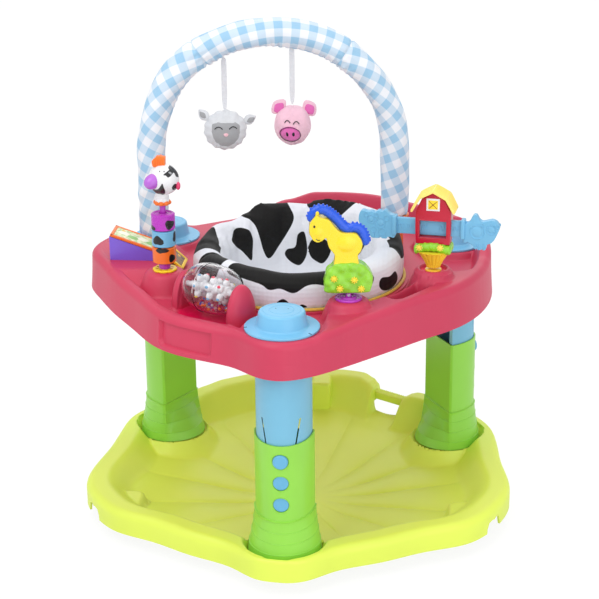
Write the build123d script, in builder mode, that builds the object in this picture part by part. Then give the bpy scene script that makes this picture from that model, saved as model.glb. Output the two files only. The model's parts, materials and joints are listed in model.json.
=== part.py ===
"""Activity jumper: a lobed rocker base, three height-adjustable posts on springs,
a toy tray with a turning seat, and a padded toy arch.  Millimetres, +Z up, origin on
the floor at the centre of the base, front post towards -Y."""
from build123d import *
from math import atan2, cos, degrees, hypot, radians, sin, sqrt, tan
import os

os.makedirs("parts", exist_ok=True)

# ---------------------------------------------------------------- driving sizes
wall = 3.0                 # moulded wall
slide_gap = 0.3            # gap between pieces that slide past each other
shaft_gap = 0.05           # radial gap of a turning fit
rest_gap = 0.3             # gap under a piece that turns on a seat

# base
base_skirt_bottom = 24.0
base_rim_top = 62.0
base_rim_width = 28.0
belly_radius = 112.0       # flat part that stands on the floor
dish_edge_radius = 284.0
dish_edge_height = 41.0
base_half_outline = [(0, 345), (6, 340), (14, 316), (28, 309), (42, 316), (53, 342), (65, 351), (78, 349),
                     (95, 331), (108, 340), (120, 350), (132, 342)]
base_right_back = [(150, 314), (163, 336)]      # bay behind the carrying bar
base_left_back = [(-163, 347), (-148, 345)]
base_back_radius = 347.0
base_back_top = 80.0       # the rim stands higher round the back
base_back_span = (160.0, 214.0)
dish_knee = (220.0, 17.0)
dish_end = (370.0, 52.0)
collar_radius = 73.0
collar_foot = 14.0
collar_top = 46.0
collar_lip = 50.0
collar_taper = 18.5
notch_width = 40.0
notch_height = 17.0
hand_hole_angle = 149.0
hand_hole_radius = 262.0
hand_hole_length = 78.0
hand_hole_width = 26.0

# stabiliser feet
foot_angles = {"right": 64.0, "back": 180.0, "left": -64.0}
foot_hinge_radius = 322.0
foot_hinge_height = 34.0
foot_reach = 33.0
foot_width = 44.0
foot_thickness = 11.0
foot_pin_radius = 2.0
foot_ear = 4.0
foot_ear_margin = 1.0

# posts
post_angles = {"front": 0.0, "right": 120.0, "left": -120.0}
chord_radius = 254.6       # flat inner face of a post, from the centre
post_half_width = 45.0
post_depth = 67.2
outer_leg_top = 233.3
flare_radius = 57.0
flare_centre = 274.4
flare_taper = 12.0
flare_height = 47.0
leg_floor = 6.0
inner_leg_bottom = 124.0
inner_leg_top = 362.0
inner_leg_lip = 10.0
button_heights = [209.0, 174.0, 139.0]
button_hole_radius = 11.75
button_radius = 11.3
button_proud = 4.0
button_stem = 3.0
button_head = 2.5
spring_shelf = 300.0
spring_radius = 20.0
spring_wire = 2.0
spring_pitch = 13.0
tongue_top = 272.0
tongue_bottom = 192.0
tongue_top_width = 56.0
tongue_slit = 2.0
tongue_angle = 9.0
spring_offset = 8.0
leg_screw_radius = 2.0
leg_screw_spread = 26.0

# tray
tray_bottom = 345.5
tray_floor = 388.0
tray_rim = 406.0
tray_back_rim = 424.0
tray_rim_width = 16.0
tray_back_angle = 165.0
tray_outline = [(-170, 338), (-155, 322), (-140, 322), (-125, 338), (-110, 350), (-97, 350), (-86, 322),
                (-72, 298), (-56, 288), (-38, 300), (-22, 300), (-12, 309), (-6, 331), (0, 343), (6, 334),
                (14, 310), (26, 281), (38, 266), (50, 263), (64, 276), (80, 292), (95, 306), (108, 320),
                (120, 334), (133, 336), (148, 338), (163, 346), (177, 344)]
boss_top = 421.0
boss_foot_radius = 27.5
boss_taper = 8.0
spinner_place = (221.0, -64.6)     # radius and angle of each toy
horse_place = (224.0, 24.0)
barn_place = (224.0, 71.5)
barrel_place = (224.0, -29.5)
tray_rise_start = 250.0
tray_rise_end = 320.0

# post caps
cap_radius = 54.8
cap_gap = 2.0
cap_centre = 273.0
cap_brim = 3.5
cap_seat = 399.0
crown_radius = 37.0
crown_taper = 9.0
crown_height = 24.0
crown_round = 5.0
cap_peg_radius = 3.0
cap_peg_spread = 32.0
cap_peg_length = 9.0

# seat
seat_y = -19.0
seat_opening = 170.0
seat_ring_inner = 160.0
seat_lip = 173.5
seat_lip_height = 3.0
opening_collar = 4.0
opening_collar_drop = 8.0
seat_hook = 3.0
seat_hook_height = 4.6
seat_cloth = 5.0
seat_pad = 15.0
seat_top_radius = 164.0
seat_front_top = 438.0
seat_back_top = 468.0
seat_bottom = 262.0
seat_bottom_radius = 70.0
seat_flanks = [(108.0, 292.0), (143.0, 322.0)]
seat_wall_foot = 352.0
seat_roll_lift = 6.0
seat_rise_start = -60.0    # the padding climbs from here, front to back
seat_rise_end = 140.0
leg_hole_radius = 40.0
leg_hole_rise = 40.0
leg_hole_x = 56.0
leg_hole_y = -45.0
piping_radius = 2.2

# toy arch
arch_left = (-243.0, 62.0)
arch_right = (144.0, 132.0)
arch_spring_line = 560.4
arch_tube = 8.0
sleeve_radius = 23.0
sleeve_hems = (424.0, 449.0)
socket_radius = 15.0
socket_flange_radius = 24.0
socket_flange = 5.0
socket_floor = 4.0

# hanging plush heads: place along the arch, strap length, half width, half depth, half height
strap_width = 7.0
strap_thick = 1.6
strap_gap = 0.8
plush_heads = {"sheep": (-77.4, 83.0, 35.0, 21.0, 32.0), "pig": (30.6, 92.5, 31.0, 24.0, 34.0)}
plush_flank = 0.92         # waist of a head against its width
plush_round = 0.6          # rounding against its depth

# cow spinner
rod_radius = 4.6
rod_top = 545.0
star_radius = 14.0
star_petal = 3.5
star_points = 8
star_thick = 3.5
dome_radius = 9.0
dome_round = 2.7
dome_height = 9.8
spin_radius = 17.6
spin_height = 26.0
cow_collar_bottom = 526.0
cow_collar_radius = 12.5
cow_collar_height = 8.0
cow_neck_radius = 9.0
cow_head_height = 566.0
cow_head_radius = 24.0
cow_head_half_height = 25.0
cow_muzzle_radius = 13.0
cow_muzzle_out = 15.0
cow_hair_width = 14.0
cow_hair_top = 603.0

# clear barrel rattle
barrel_height = 428.0
barrel_half_length = 47.0
barrel_radius = 37.0
barrel_end_radius = 23.0
barrel_shoulder = (33.0, 33.0)
barrel_wall = 2.0
axle_radius = 4.0
arm_gap = 1.0
arm_thick = 13.0
arm_shoulder = 10.0
arm_crest = 8.0
arm_half_width = 27.0
arm_top = 446.0
core_radius = 9.0
bead_radius = 4.0
bead_count = 5

# rocking horse
horse_turn = 5.6
horse_base_radius = 20.0
horse_base_height = 3.5
horse_pin_height = 429.0
horse_pin_radius = 2.0
horse_tongue = 8.0
horse_lug = 4.0
horse_lug_rise = 3.0
bush_bottom = 434.0
bush_half_width = 35.0
bush_height = 42.0
bush_thick = 30.0
horse_thick = 22.0
mane_thick = 12.0
flower_radius = 4.2
flower_thick = 2.0
horse_outline = [(-59, 522), (-54, 510), (-42, 510), (-34, 522), (-31, 503), (-23, 487), (-22, 476), (11, 476),
                 (11, 489), (18, 499), (11, 521), (-12, 522), (-23, 538), (-40, 548), (-49, 549), (-55, 538)]
mane_curls = [(-55, 551), (-46, 556), (-36, 554), (-27, 547), (-19, 538), (-10, 530), (0, 526), (9, 530),
              (18, 527), (24, 517), (26, 508)]
curl_radius = 7.0

# barn with the sliding bar
barn_turn = -8.5
pot_radius = 11.0
pot_taper = -25.0
pot_height = 29.0
leaf_half_width = 28.0
leaf_height = 17.0
barn_half_width = 27.0
barn_depth = 26.0
barn_bottom = 467.0
barn_eave = 513.0
barn_knee = 535.0
barn_knee_half = 18.0
barn_ridge = 547.0
roof_thick = 4.0
roof_overhang = 3.0
bar_centre_height = 491.0
bar_height = 26.0
bar_thick = 7.0
figure_inner = (-58.0, 45.0)
figure_width = 56.0
figure_bottom = 469.0
figure_top = 517.0
window_opening = 42.0
window_opening_height = 27.0
figure_thick = 14.0
loft_window = 15.0
loft_window_height = 526.0
loft_window_thick = 1.5

# picture book
book_near = -16.0
book_far = 34.0
book_spine = (-214.0, 419.0)
book_pin = 1.5
book_knuckle = 4.0
stand_left = -302.0
page_thick = 4.0
page_rest_angle = 161.0
page_length = 92.0
flap_angle = -42.0
flap_length = 38.0
stand_ear = 3.0
page_clearance = 1.5

# snack recess in the tray
recess_angle = 48.0
recess_radius = 227.0
recess_length = 90.0
recess_width = 36.0
recess_depth = 12.0


beyond = 600.0             # reach of a cut that passes right through the part


# ---------------------------------------------------------------- helpers
def polar(radius, angle):
    """A point at a radius, its angle counted from the front post towards the right."""
    return (radius * sin(radians(angle)), -radius * cos(radians(angle)))


def outward(angle, height=0.0):
    """A level plane through the centre axis, its X pointing out at the angle."""
    x, y = polar(1, angle)
    return Plane(origin=(0, 0, height), x_dir=(x, y, 0), z_dir=(0, 0, 1))


def radial_plane(angle, height, radius):
    """An upright plane at a radius, facing outwards."""
    x, y = polar(1, angle)
    return Plane(origin=(x * radius, y * radius, height), x_dir=(-y, x, 0), z_dir=(x, y, 0))


def foot_axis_plane(angle):
    """An upright plane across a stabiliser foot's hinge: X outwards, Y down or up."""
    x, y = polar(1, angle)
    origin = (x * foot_hinge_radius, y * foot_hinge_radius, foot_hinge_height)
    return Plane(origin=origin, x_dir=(x, y, 0), z_dir=(-y, x, 0))


def spring_plane(angle, height):
    """A level plane at the middle of a post."""
    x, y = polar(flare_centre + spring_offset, angle)
    return Plane(origin=(x, y, height), z_dir=(0, 0, 1))


def facing_plane(x, y, turn, height=0.0):
    """An upright plane through a point, turned about the vertical; turn 0 faces the front."""
    across, along = cos(radians(turn)), sin(radians(turn))
    return Plane(origin=(x, y, height), x_dir=(across, along, 0), z_dir=(along, -across, 0))


def upright_plane(angle):
    """An upright plane through the centre axis: X outwards at the angle, Y up."""
    x, y = polar(1, angle)
    return Plane(origin=(0, 0, 0), x_dir=(x, y, 0), z_dir=(y, -x, 0))


def outline_face(controls, inset=0.0):
    """A smooth closed outline through polar points, moved in by inset."""
    with BuildSketch() as face:
        with BuildLine():
            Spline(*[polar(r - inset, a) for a, r in controls], periodic=True)
        make_face()
    return face.sketch


def post_face(shrink):
    """The post's section: a flat inner face and a half-oval outer face."""
    half, chord = post_half_width - shrink, chord_radius + shrink
    with BuildSketch() as face:
        with BuildLine():
            EllipticalCenterArc((chord, 0), post_depth - 2 * shrink, half, -90, arc_size=180)
            Line((chord, half), (chord, -half))
        make_face()
    return face.sketch


def sector(start, end):
    """A level wedge from the centre axis between two directions."""
    with BuildSketch() as face:
        with BuildLine():
            Polyline((0, 0), polar(beyond, start), polar(beyond, (start + end) / 2), polar(beyond, end), close=True)
        make_face()
    return face.sketch


base_outline = (base_half_outline + base_right_back + [(180, base_back_radius)] + base_left_back
                + [(-angle, radius) for angle, radius in reversed(base_half_outline[1:])])

# ---------------------------------------------------------------- base
under_rim = base_rim_top - wall
inner_edge = base_rim_width - wall
end_wall_turn = degrees(wall / (base_back_radius - base_rim_width))
dish_steps = [(belly_radius, 0), dish_knee, (dish_edge_radius, dish_edge_height), dish_end]
with BuildPart() as dish_shell:
    with BuildSketch(Plane.XZ):
        with BuildLine():
            Polyline((0, 0), *dish_steps, *[(x, z + wall) for x, z in reversed(dish_steps)], (0, wall), close=True)
        make_face()
    revolve(axis=Axis.Z)
    with BuildSketch():
        add(outline_face(base_outline, base_rim_width - wall / 2))
    extrude(amount=base_rim_top, mode=Mode.INTERSECT)

with BuildPart() as base_dish:
    with BuildSketch(Plane.XY.offset(base_skirt_bottom)):
        add(outline_face(base_outline))
    extrude(amount=base_rim_top - base_skirt_bottom)
    with BuildSketch(Plane.XY.offset(base_skirt_bottom)):
        add(outline_face(base_outline, wall))
    extrude(amount=under_rim - base_skirt_bottom, mode=Mode.SUBTRACT)
    with BuildSketch(Plane.XY.offset(under_rim)):
        add(outline_face(base_outline, base_rim_width))
    extrude(amount=wall, mode=Mode.SUBTRACT)
    with BuildSketch(Plane.XY.offset(dish_edge_height)):
        add(outline_face(base_outline, inner_edge))
        add(outline_face(base_outline, base_rim_width), mode=Mode.SUBTRACT)
    extrude(amount=base_rim_top - dish_edge_height)
    add(dish_shell.part)
    # higher rim round the back, hollow like the rest
    with BuildSketch(Plane.XY.offset(base_rim_top)):
        add(outline_face(base_outline))
        add(outline_face(base_outline, base_rim_width), mode=Mode.SUBTRACT)
        add(sector(*base_back_span), mode=Mode.INTERSECT)
    extrude(amount=base_back_top - base_rim_top)
    with BuildSketch(Plane.XY.offset(base_skirt_bottom)):
        add(outline_face(base_outline, wall))
        add(outline_face(base_outline, inner_edge), mode=Mode.SUBTRACT)
        add(sector(base_back_span[0] + end_wall_turn, base_back_span[1] - end_wall_turn), mode=Mode.INTERSECT)
    extrude(amount=base_back_top - wall - base_skirt_bottom, mode=Mode.SUBTRACT)
    for angle in post_angles.values():
        # hollow collar that the foot of a post stands in
        with BuildSketch(outward(angle, collar_foot)):
            with Locations((flare_centre, 0)):
                Circle(collar_radius)
        extrude(amount=collar_lip - collar_foot, taper=collar_taper)
        with BuildSketch(outward(angle, collar_foot)):
            with Locations((flare_centre, 0)):
                Circle(collar_radius - wall)
        extrude(amount=collar_top - wall - collar_foot, taper=collar_taper, mode=Mode.SUBTRACT)
        with BuildSketch(outward(angle, collar_top)):
            with Locations((flare_centre, 0)):
                Circle(flare_radius + slide_gap)
        extrude(amount=base_rim_top, mode=Mode.SUBTRACT)
        with BuildSketch(outward(angle, collar_top - wall)):
            with Locations((flare_centre, leg_screw_spread), (flare_centre, -leg_screw_spread)):
                Circle(leg_screw_radius)
        extrude(amount=wall, mode=Mode.SUBTRACT)
    for side, angle in foot_angles.items():
        # two ears under the rim that hold a foot's pin
        ear_out = foot_width / 2 + slide_gap + foot_ear / 2
        ear_top = base_back_top - wall if side == "back" else under_rim
        with BuildSketch(outward(angle, foot_hinge_height - foot_thickness / 2)):
            with Locations((foot_hinge_radius, ear_out), (foot_hinge_radius, -ear_out)):
                Rectangle(foot_thickness + 2 * foot_ear_margin, foot_ear)
        extrude(amount=ear_top - foot_hinge_height + foot_thickness / 2)
        with BuildSketch(foot_axis_plane(angle)):
            Circle(foot_pin_radius)
        extrude(amount=ear_out + foot_ear, both=True, mode=Mode.SUBTRACT)
    for angle in (foot_angles["right"], foot_angles["left"]):
        # finger notch in the skirt beside each side foot
        with BuildSketch(outward(angle, base_skirt_bottom)):
            with Locations((base_outline[6][1], 0)):
                Rectangle(4 * wall, notch_width)
        extrude(amount=notch_height, mode=Mode.SUBTRACT)
    # hand hole inside the carrying bar
    with BuildSketch(outward(hand_hole_angle)):
        with Locations((hand_hole_radius, 0)):
            SlotOverall(hand_hole_length, hand_hole_width, rotation=90)
    extrude(amount=base_rim_top, mode=Mode.SUBTRACT)
base_dish.part.label = "base_dish"
export_step(base_dish.part, "parts/base_dish.step")

for side, angle in foot_angles.items():
    with BuildPart() as stabiliser_foot:
        with BuildSketch(foot_axis_plane(angle)):
            Circle(foot_thickness / 2)
            with Locations((-foot_reach / 2, 0)):
                Rectangle(foot_reach, foot_thickness)
        extrude(amount=foot_width / 2, both=True)
        with BuildSketch(foot_axis_plane(angle)):
            Circle(foot_pin_radius + shaft_gap)
        extrude(amount=foot_width, both=True, mode=Mode.SUBTRACT)
    stabiliser_foot.part.label = f"stabiliser_foot_{side}"
    export_step(stabiliser_foot.part, f"parts/stabiliser_foot_{side}.step")

with BuildPart() as stabiliser_pins:
    for angle in foot_angles.values():
        with BuildSketch(foot_axis_plane(angle)):
            Circle(foot_pin_radius)
        extrude(amount=foot_width / 2 + slide_gap + foot_ear, both=True)
stabiliser_pins.part.label = "stabiliser_pins"
export_step(stabiliser_pins.part, "parts/stabiliser_pins.step")

# ---------------------------------------------------------------- posts
leg_gap = wall + slide_gap
spring_length = tray_floor - wall - spring_shelf - 2 * (spring_wire + rest_gap)
tongue_lean = (tongue_top - tongue_bottom) / 2 * tan(radians(tongue_angle))
for side, angle in post_angles.items():
    with BuildPart() as outer_leg:
        with BuildSketch(outward(angle, collar_top)):
            with Locations((flare_centre, 0)):
                Circle(flare_radius)
        extrude(amount=flare_height, taper=flare_taper)
        with BuildSketch(outward(angle, collar_top)):
            with Locations((flare_centre, 0)):
                Circle(flare_radius - wall)
        extrude(amount=flare_height - wall, taper=flare_taper, mode=Mode.SUBTRACT)
        with BuildSketch(outward(angle, collar_top)):
            add(post_face(0))
        extrude(amount=outer_leg_top - collar_top)
        with BuildSketch(outward(angle, collar_top + leg_floor)):
            add(post_face(wall))
        extrude(amount=outer_leg_top, mode=Mode.SUBTRACT)
        with BuildSketch(radial_plane(angle, 0, chord_radius + post_depth / 2)):
            with Locations(*[(0, height) for height in button_heights]):
                Circle(button_hole_radius)
        extrude(amount=post_depth, mode=Mode.SUBTRACT)
        with BuildSketch(outward(angle, collar_top)):
            with Locations((flare_centre, leg_screw_spread), (flare_centre, -leg_screw_spread)):
                Circle(leg_screw_radius)
        extrude(amount=leg_floor, mode=Mode.SUBTRACT)
    outer_leg.part.label = f"outer_leg_{side}"
    export_step(outer_leg.part, f"parts/outer_leg_{side}.step")

    with BuildPart() as inner_leg:
        with BuildSketch(outward(angle, inner_leg_bottom)):
            add(post_face(leg_gap))
            add(post_face(leg_gap + wall), mode=Mode.SUBTRACT)
            with Locations((chord_radius + leg_gap + wall / 2, 0)):
                Rectangle(2 * wall, 2 * (post_half_width - leg_gap - inner_leg_lip), mode=Mode.SUBTRACT)
        extrude(amount=inner_leg_top - inner_leg_bottom)
        with BuildSketch(outward(angle, spring_shelf)):
            add(post_face(leg_gap + wall / 2))
        extrude(amount=-wall)
        # the button's hole, and two converging slits that let its tongue flex
        with BuildSketch(radial_plane(angle, 0, chord_radius + post_depth / 2)):
            with Locations((0, button_heights[0])):
                Circle(button_radius + slide_gap)
            for hand in (-1, 1):
                with Locations((hand * (tongue_top_width / 2 - tongue_lean), (tongue_top + tongue_bottom) / 2)):
                    Rectangle(tongue_slit, tongue_top - tongue_bottom, rotation=-hand * tongue_angle)
        extrude(amount=post_depth, mode=Mode.SUBTRACT)
    inner_leg.part.label = f"inner_leg_{side}"
    export_step(inner_leg.part, f"parts/inner_leg_{side}.step")

    # button with a wide head inside the post, so that it can't fall out
    button_face = chord_radius + post_depth + button_proud
    inside = leg_gap + wall
    head_reach = (button_radius + button_head) / (post_half_width - inside)
    button_seat = chord_radius + inside + (post_depth - 2 * inside) * sqrt(1 - head_reach ** 2)
    with BuildPart() as height_button:
        with BuildSketch(radial_plane(angle, button_heights[0], button_seat)):
            Circle(button_radius)
        extrude(amount=button_face - button_seat)
        with BuildSketch(radial_plane(angle, button_heights[0], button_seat - slide_gap)):
            Circle(button_radius + button_head)
        extrude(amount=-button_stem)
        with BuildSketch(radial_plane(angle, button_heights[0], button_seat - slide_gap)):
            Circle(button_radius)
        extrude(amount=slide_gap)
    height_button.part.label = f"height_button_{side}"
    export_step(height_button.part, f"parts/height_button_{side}.step")

with BuildPart() as leg_springs:
    for angle in post_angles.values():
        with BuildLine(spring_plane(angle, spring_shelf + spring_wire + rest_gap)) as coil:
            Helix(spring_pitch, spring_length, spring_radius)
        with BuildSketch(Plane(coil.line @ 0, z_dir=coil.line % 0)) as wire:
            Circle(spring_wire)
        sweep(wire.sketch, path=coil.line, is_frenet=True)
leg_springs.part.label = "leg_springs"
export_step(leg_springs.part, "parts/leg_springs.step")

with BuildPart() as leg_screws:
    for angle in post_angles.values():
        with BuildSketch(outward(angle, collar_top - wall)):
            with Locations((flare_centre, leg_screw_spread), (flare_centre, -leg_screw_spread)):
                Circle(2 * leg_screw_radius)
        extrude(amount=-leg_screw_radius)
        with BuildSketch(outward(angle, collar_top - wall)):
            with Locations((flare_centre, leg_screw_spread), (flare_centre, -leg_screw_spread)):
                Circle(leg_screw_radius)
        extrude(amount=wall + leg_floor)
leg_screws.part.label = "leg_screws"
export_step(leg_screws.part, "parts/leg_screws.step")

# ---------------------------------------------------------------- tray
boss_places = (spinner_place, horse_place, barn_place)
cap_seat_radius = cap_radius + cap_gap
seat_axis = Axis((0, seat_y, 0), (0, 0, 1))
seat_plane = Plane(origin=(0, seat_y, 0), x_dir=(1, 0, 0), z_dir=(0, -1, 0))
barrel_plane = facing_plane(*polar(*barrel_place), barrel_place[1], barrel_height)
arm_inner = barrel_half_length + arm_gap
arch_across, arch_along = arch_right[0] - arch_left[0], arch_right[1] - arch_left[1]
arch_half = hypot(arch_across, arch_along) / 2
arch_plane = facing_plane((arch_left[0] + arch_right[0]) / 2, (arch_left[1] + arch_right[1]) / 2,
                          degrees(atan2(arch_along, arch_across)))

with BuildPart() as tray:
    with BuildSketch(Plane.XY.offset(tray_bottom)):
        add(outline_face(tray_outline))
    extrude(amount=tray_back_rim - tray_bottom)
    with BuildSketch(Plane.XY.offset(tray_bottom)):
        add(outline_face(tray_outline, wall))
    extrude(amount=tray_floor - wall - tray_bottom, mode=Mode.SUBTRACT)
    with BuildSketch(Plane.XY.offset(tray_floor)):
        add(outline_face(tray_outline, tray_rim_width))
    extrude(amount=tray_back_rim, mode=Mode.SUBTRACT)
    # the rim climbs towards the back
    with BuildSketch(upright_plane(tray_back_angle)):
        with BuildLine():
            Polyline((-beyond, tray_rim), (tray_rise_start, tray_rim), (tray_rise_end, tray_back_rim),
                     (beyond, tray_back_rim), (beyond, beyond), (-beyond, beyond), close=True)
        make_face()
    extrude(amount=beyond, both=True, mode=Mode.SUBTRACT)
    for radius, angle in boss_places:
        # hollow cone that carries a toy
        with BuildSketch(outward(angle, tray_floor - wall)):
            with Locations((radius, 0)):
                Circle(boss_foot_radius + wall)
        extrude(amount=boss_top - tray_floor + wall, taper=boss_taper)
        with BuildSketch(outward(angle, tray_floor - wall)):
            with Locations((radius, 0)):
                Circle(boss_foot_radius)
        extrude(amount=boss_top - tray_floor, taper=boss_taper, mode=Mode.SUBTRACT)
    for angle in post_angles.values():
        # sleeve that slides on the post, and the seat of its cap
        with BuildSketch(outward(angle, tray_bottom)):
            add(post_face(0))
            add(post_face(wall), mode=Mode.SUBTRACT)
        extrude(amount=tray_floor - wall - tray_bottom)
        with BuildSketch(outward(angle, tray_floor)):
            with Locations((cap_centre, 0)):
                Circle(cap_seat_radius)
        extrude(amount=cap_seat - tray_floor)
        with BuildSketch(outward(angle, cap_seat)):
            with Locations((cap_centre, 0)):
                Circle(cap_seat_radius)
        extrude(amount=tray_back_rim - cap_seat, mode=Mode.SUBTRACT)
        with BuildSketch(outward(angle, cap_seat)):
            with Locations((cap_centre, cap_peg_spread), (cap_centre, -cap_peg_spread)):
                Circle(cap_peg_radius)
        extrude(amount=-cap_peg_length, mode=Mode.SUBTRACT)
    # arms that hold the barrel's axle
    arm_foot, arm_crown = tray_floor - barrel_height, arm_top - barrel_height
    for side in (arm_inner, -arm_inner - arm_thick):
        with BuildSketch(Plane(barrel_plane.origin + barrel_plane.x_dir * side, x_dir=barrel_plane.z_dir,
                               z_dir=barrel_plane.x_dir)):
            with BuildLine():
                Polyline((-arm_half_width, -arm_foot), (arm_half_width, -arm_foot),
                         (arm_half_width - arm_shoulder, arm_shoulder - arm_crown), (arm_crest, -arm_crown),
                         (-arm_crest, -arm_crown), (arm_shoulder - arm_half_width, arm_shoulder - arm_crown),
                         close=True)
            make_face()
            Circle(axle_radius, mode=Mode.SUBTRACT)
        extrude(amount=arm_thick)
    # snack recess
    with BuildSketch(outward(recess_angle, tray_floor)):
        with Locations((recess_radius, 0)):
            SlotOverall(recess_length + 2 * wall, recess_width + 2 * wall, rotation=90)
    extrude(amount=-recess_depth - wall)
    with BuildSketch(outward(recess_angle, tray_floor - recess_depth)):
        with Locations((recess_radius, 0)):
            SlotOverall(recess_length, recess_width, rotation=90)
    extrude(amount=recess_depth, mode=Mode.SUBTRACT)
    # collar round the seat opening
    with BuildSketch(Plane.XY.offset(tray_floor - opening_collar_drop)):
        with Locations((0, seat_y)):
            Circle(seat_opening + opening_collar)
    extrude(amount=opening_collar_drop)
    with BuildSketch(Plane.XY.offset(tray_bottom)):
        with Locations((0, seat_y)):
            Circle(seat_opening)
    extrude(amount=tray_back_rim - tray_bottom, mode=Mode.SUBTRACT)
    with BuildSketch(outward(spinner_place[1], boss_top - wall)):
        with Locations((spinner_place[0], 0)):
            Circle(rod_radius)
    extrude(amount=wall, mode=Mode.SUBTRACT)
tray.part.label = "tray"
export_step(tray.part, "parts/tray.step")

for side, angle in post_angles.items():
    with BuildPart() as post_cap:
        with BuildSketch(outward(angle, cap_seat)):
            with Locations((cap_centre, 0)):
                Circle(cap_radius)
        extrude(amount=cap_brim)
        with BuildSketch(outward(angle, cap_seat + cap_brim)):
            with Locations((cap_centre, 0)):
                Circle(crown_radius)
        extrude(amount=crown_height, taper=crown_taper)
        fillet(post_cap.faces().sort_by(Axis.Z)[-1].edges(), crown_round)
        with BuildSketch(outward(angle, cap_seat)):
            with Locations((cap_centre, 0)):
                Circle(crown_radius - wall)
        extrude(amount=crown_height + cap_brim - wall, taper=crown_taper, mode=Mode.SUBTRACT)
        with BuildSketch(outward(angle, cap_seat + cap_brim)):
            with Locations((cap_centre, cap_peg_spread), (cap_centre, -cap_peg_spread)):
                Circle(cap_peg_radius)
        extrude(amount=-cap_brim - cap_peg_length)
    post_cap.part.label = f"post_cap_{side}"
    export_step(post_cap.part, f"parts/post_cap_{side}.step")

# ---------------------------------------------------------------- seat
ring_bottom = tray_floor - opening_collar_drop - rest_gap - seat_hook_height
with BuildPart() as seat_ring:
    with BuildSketch(seat_plane):
        with BuildLine():
            Polyline((seat_ring_inner, ring_bottom), (seat_opening + seat_hook, ring_bottom),
                     (seat_opening + seat_hook, ring_bottom + seat_hook_height),
                     (seat_opening - shaft_gap, ring_bottom + seat_hook_height),
                     (seat_opening - shaft_gap, tray_floor + rest_gap), (seat_lip, tray_floor + rest_gap),
                     (seat_lip, tray_floor + rest_gap + seat_lip_height),
                     (seat_ring_inner, tray_floor + rest_gap + seat_lip_height), close=True)
        make_face()
    revolve(axis=seat_axis)
seat_ring.part.label = "seat_ring"
export_step(seat_ring.part, "parts/seat_ring.step")

lip_top = tray_floor + rest_gap + seat_lip_height
cloth_outer = seat_ring_inner - rest_gap
seat_steps = [(seat_bottom_radius, seat_bottom), *seat_flanks, (cloth_outer, seat_wall_foot)]
roll_bottom = lip_top + seat_roll_lift
with BuildPart() as seat_fabric:
    with BuildSketch(seat_plane):
        with BuildLine():
            Polyline((0, seat_bottom), *seat_steps, (cloth_outer, lip_top + rest_gap), (seat_top_radius, roll_bottom),
                     (seat_top_radius, seat_back_top), (seat_top_radius - seat_pad, seat_back_top),
                     (seat_top_radius - seat_pad, roll_bottom),
                     *[(r - seat_cloth, z + seat_cloth) for r, z in reversed(seat_steps)],
                     (0, seat_bottom + seat_cloth), close=True)
        make_face()
    revolve(axis=seat_axis)
    # low front, high back
    with BuildSketch(Plane.YZ):
        with BuildLine():
            Polyline((-beyond, seat_front_top), (seat_rise_start, seat_front_top), (seat_rise_end, seat_back_top),
                     (beyond, seat_back_top), (beyond, beyond), (-beyond, beyond), close=True)
        make_face()
    extrude(amount=beyond, both=True, mode=Mode.SUBTRACT)
    with BuildSketch(Plane.XY.offset(seat_bottom)):
        with Locations((leg_hole_x, leg_hole_y), (-leg_hole_x, leg_hole_y)):
            Circle(leg_hole_radius)
    extrude(amount=leg_hole_rise, mode=Mode.SUBTRACT)
seat_fabric.part.label = "seat_fabric"
export_step(seat_fabric.part, "parts/seat_fabric.step")

with BuildPart() as seat_piping:
    with BuildSketch(seat_plane):
        with Locations((seat_top_radius + piping_radius + rest_gap, lip_top + piping_radius)):
            Circle(piping_radius)
    revolve(axis=seat_axis)
seat_piping.part.label = "seat_piping"
export_step(seat_piping.part, "parts/seat_piping.step")

# ---------------------------------------------------------------- toy arch
def arch_path(start, end):
    """The arch's middle line, from a height on the left foot to one on the right."""
    with BuildLine(arch_plane) as path:
        Line((-arch_half, start), (-arch_half, arch_spring_line))
        ThreePointArc((-arch_half, arch_spring_line), (0, arch_spring_line + arch_half),
                      (arch_half, arch_spring_line))
        Line((arch_half, arch_spring_line), (arch_half, end))
    return path.line


foot_top = tray_floor + socket_floor
with BuildPart() as arch_rod:
    with BuildLine():
        add(arch_path(foot_top, foot_top))
    with BuildSketch(Plane(origin=(*arch_left, foot_top), z_dir=(0, 0, 1))):
        Circle(arch_tube)
    sweep()
arch_rod.part.label = "arch_tube"
export_step(arch_rod.part, "parts/arch_tube.step")

with BuildPart() as arch_sleeve:
    with BuildLine():
        add(arch_path(*sleeve_hems))
    with BuildSketch(Plane(origin=(*arch_left, sleeve_hems[0]), z_dir=(0, 0, 1))):
        Circle(sleeve_radius)
        Circle(arch_tube + rest_gap, mode=Mode.SUBTRACT)
    sweep()
arch_sleeve.part.label = "arch_sleeve"
export_step(arch_sleeve.part, "parts/arch_sleeve.step")

for side, (x, y), hem in (("left", arch_left, sleeve_hems[0]), ("right", arch_right, sleeve_hems[1])):
    with BuildPart() as arch_socket:
        with BuildSketch(Plane(origin=(x, y, tray_floor), z_dir=(0, 0, 1))):
            Circle(socket_radius)
        extrude(amount=hem - rest_gap - tray_floor)
        with BuildSketch(Plane(origin=(x, y, hem - rest_gap), z_dir=(0, 0, 1))):
            Circle(socket_flange_radius)
        extrude(amount=-socket_flange)
        with BuildSketch(Plane(origin=(x, y, foot_top), z_dir=(0, 0, 1))):
            Circle(arch_tube)
        extrude(amount=hem - foot_top, mode=Mode.SUBTRACT)
    arch_socket.part.label = f"arch_socket_{side}"
    export_step(arch_socket.part, f"parts/arch_socket_{side}.step")

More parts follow.
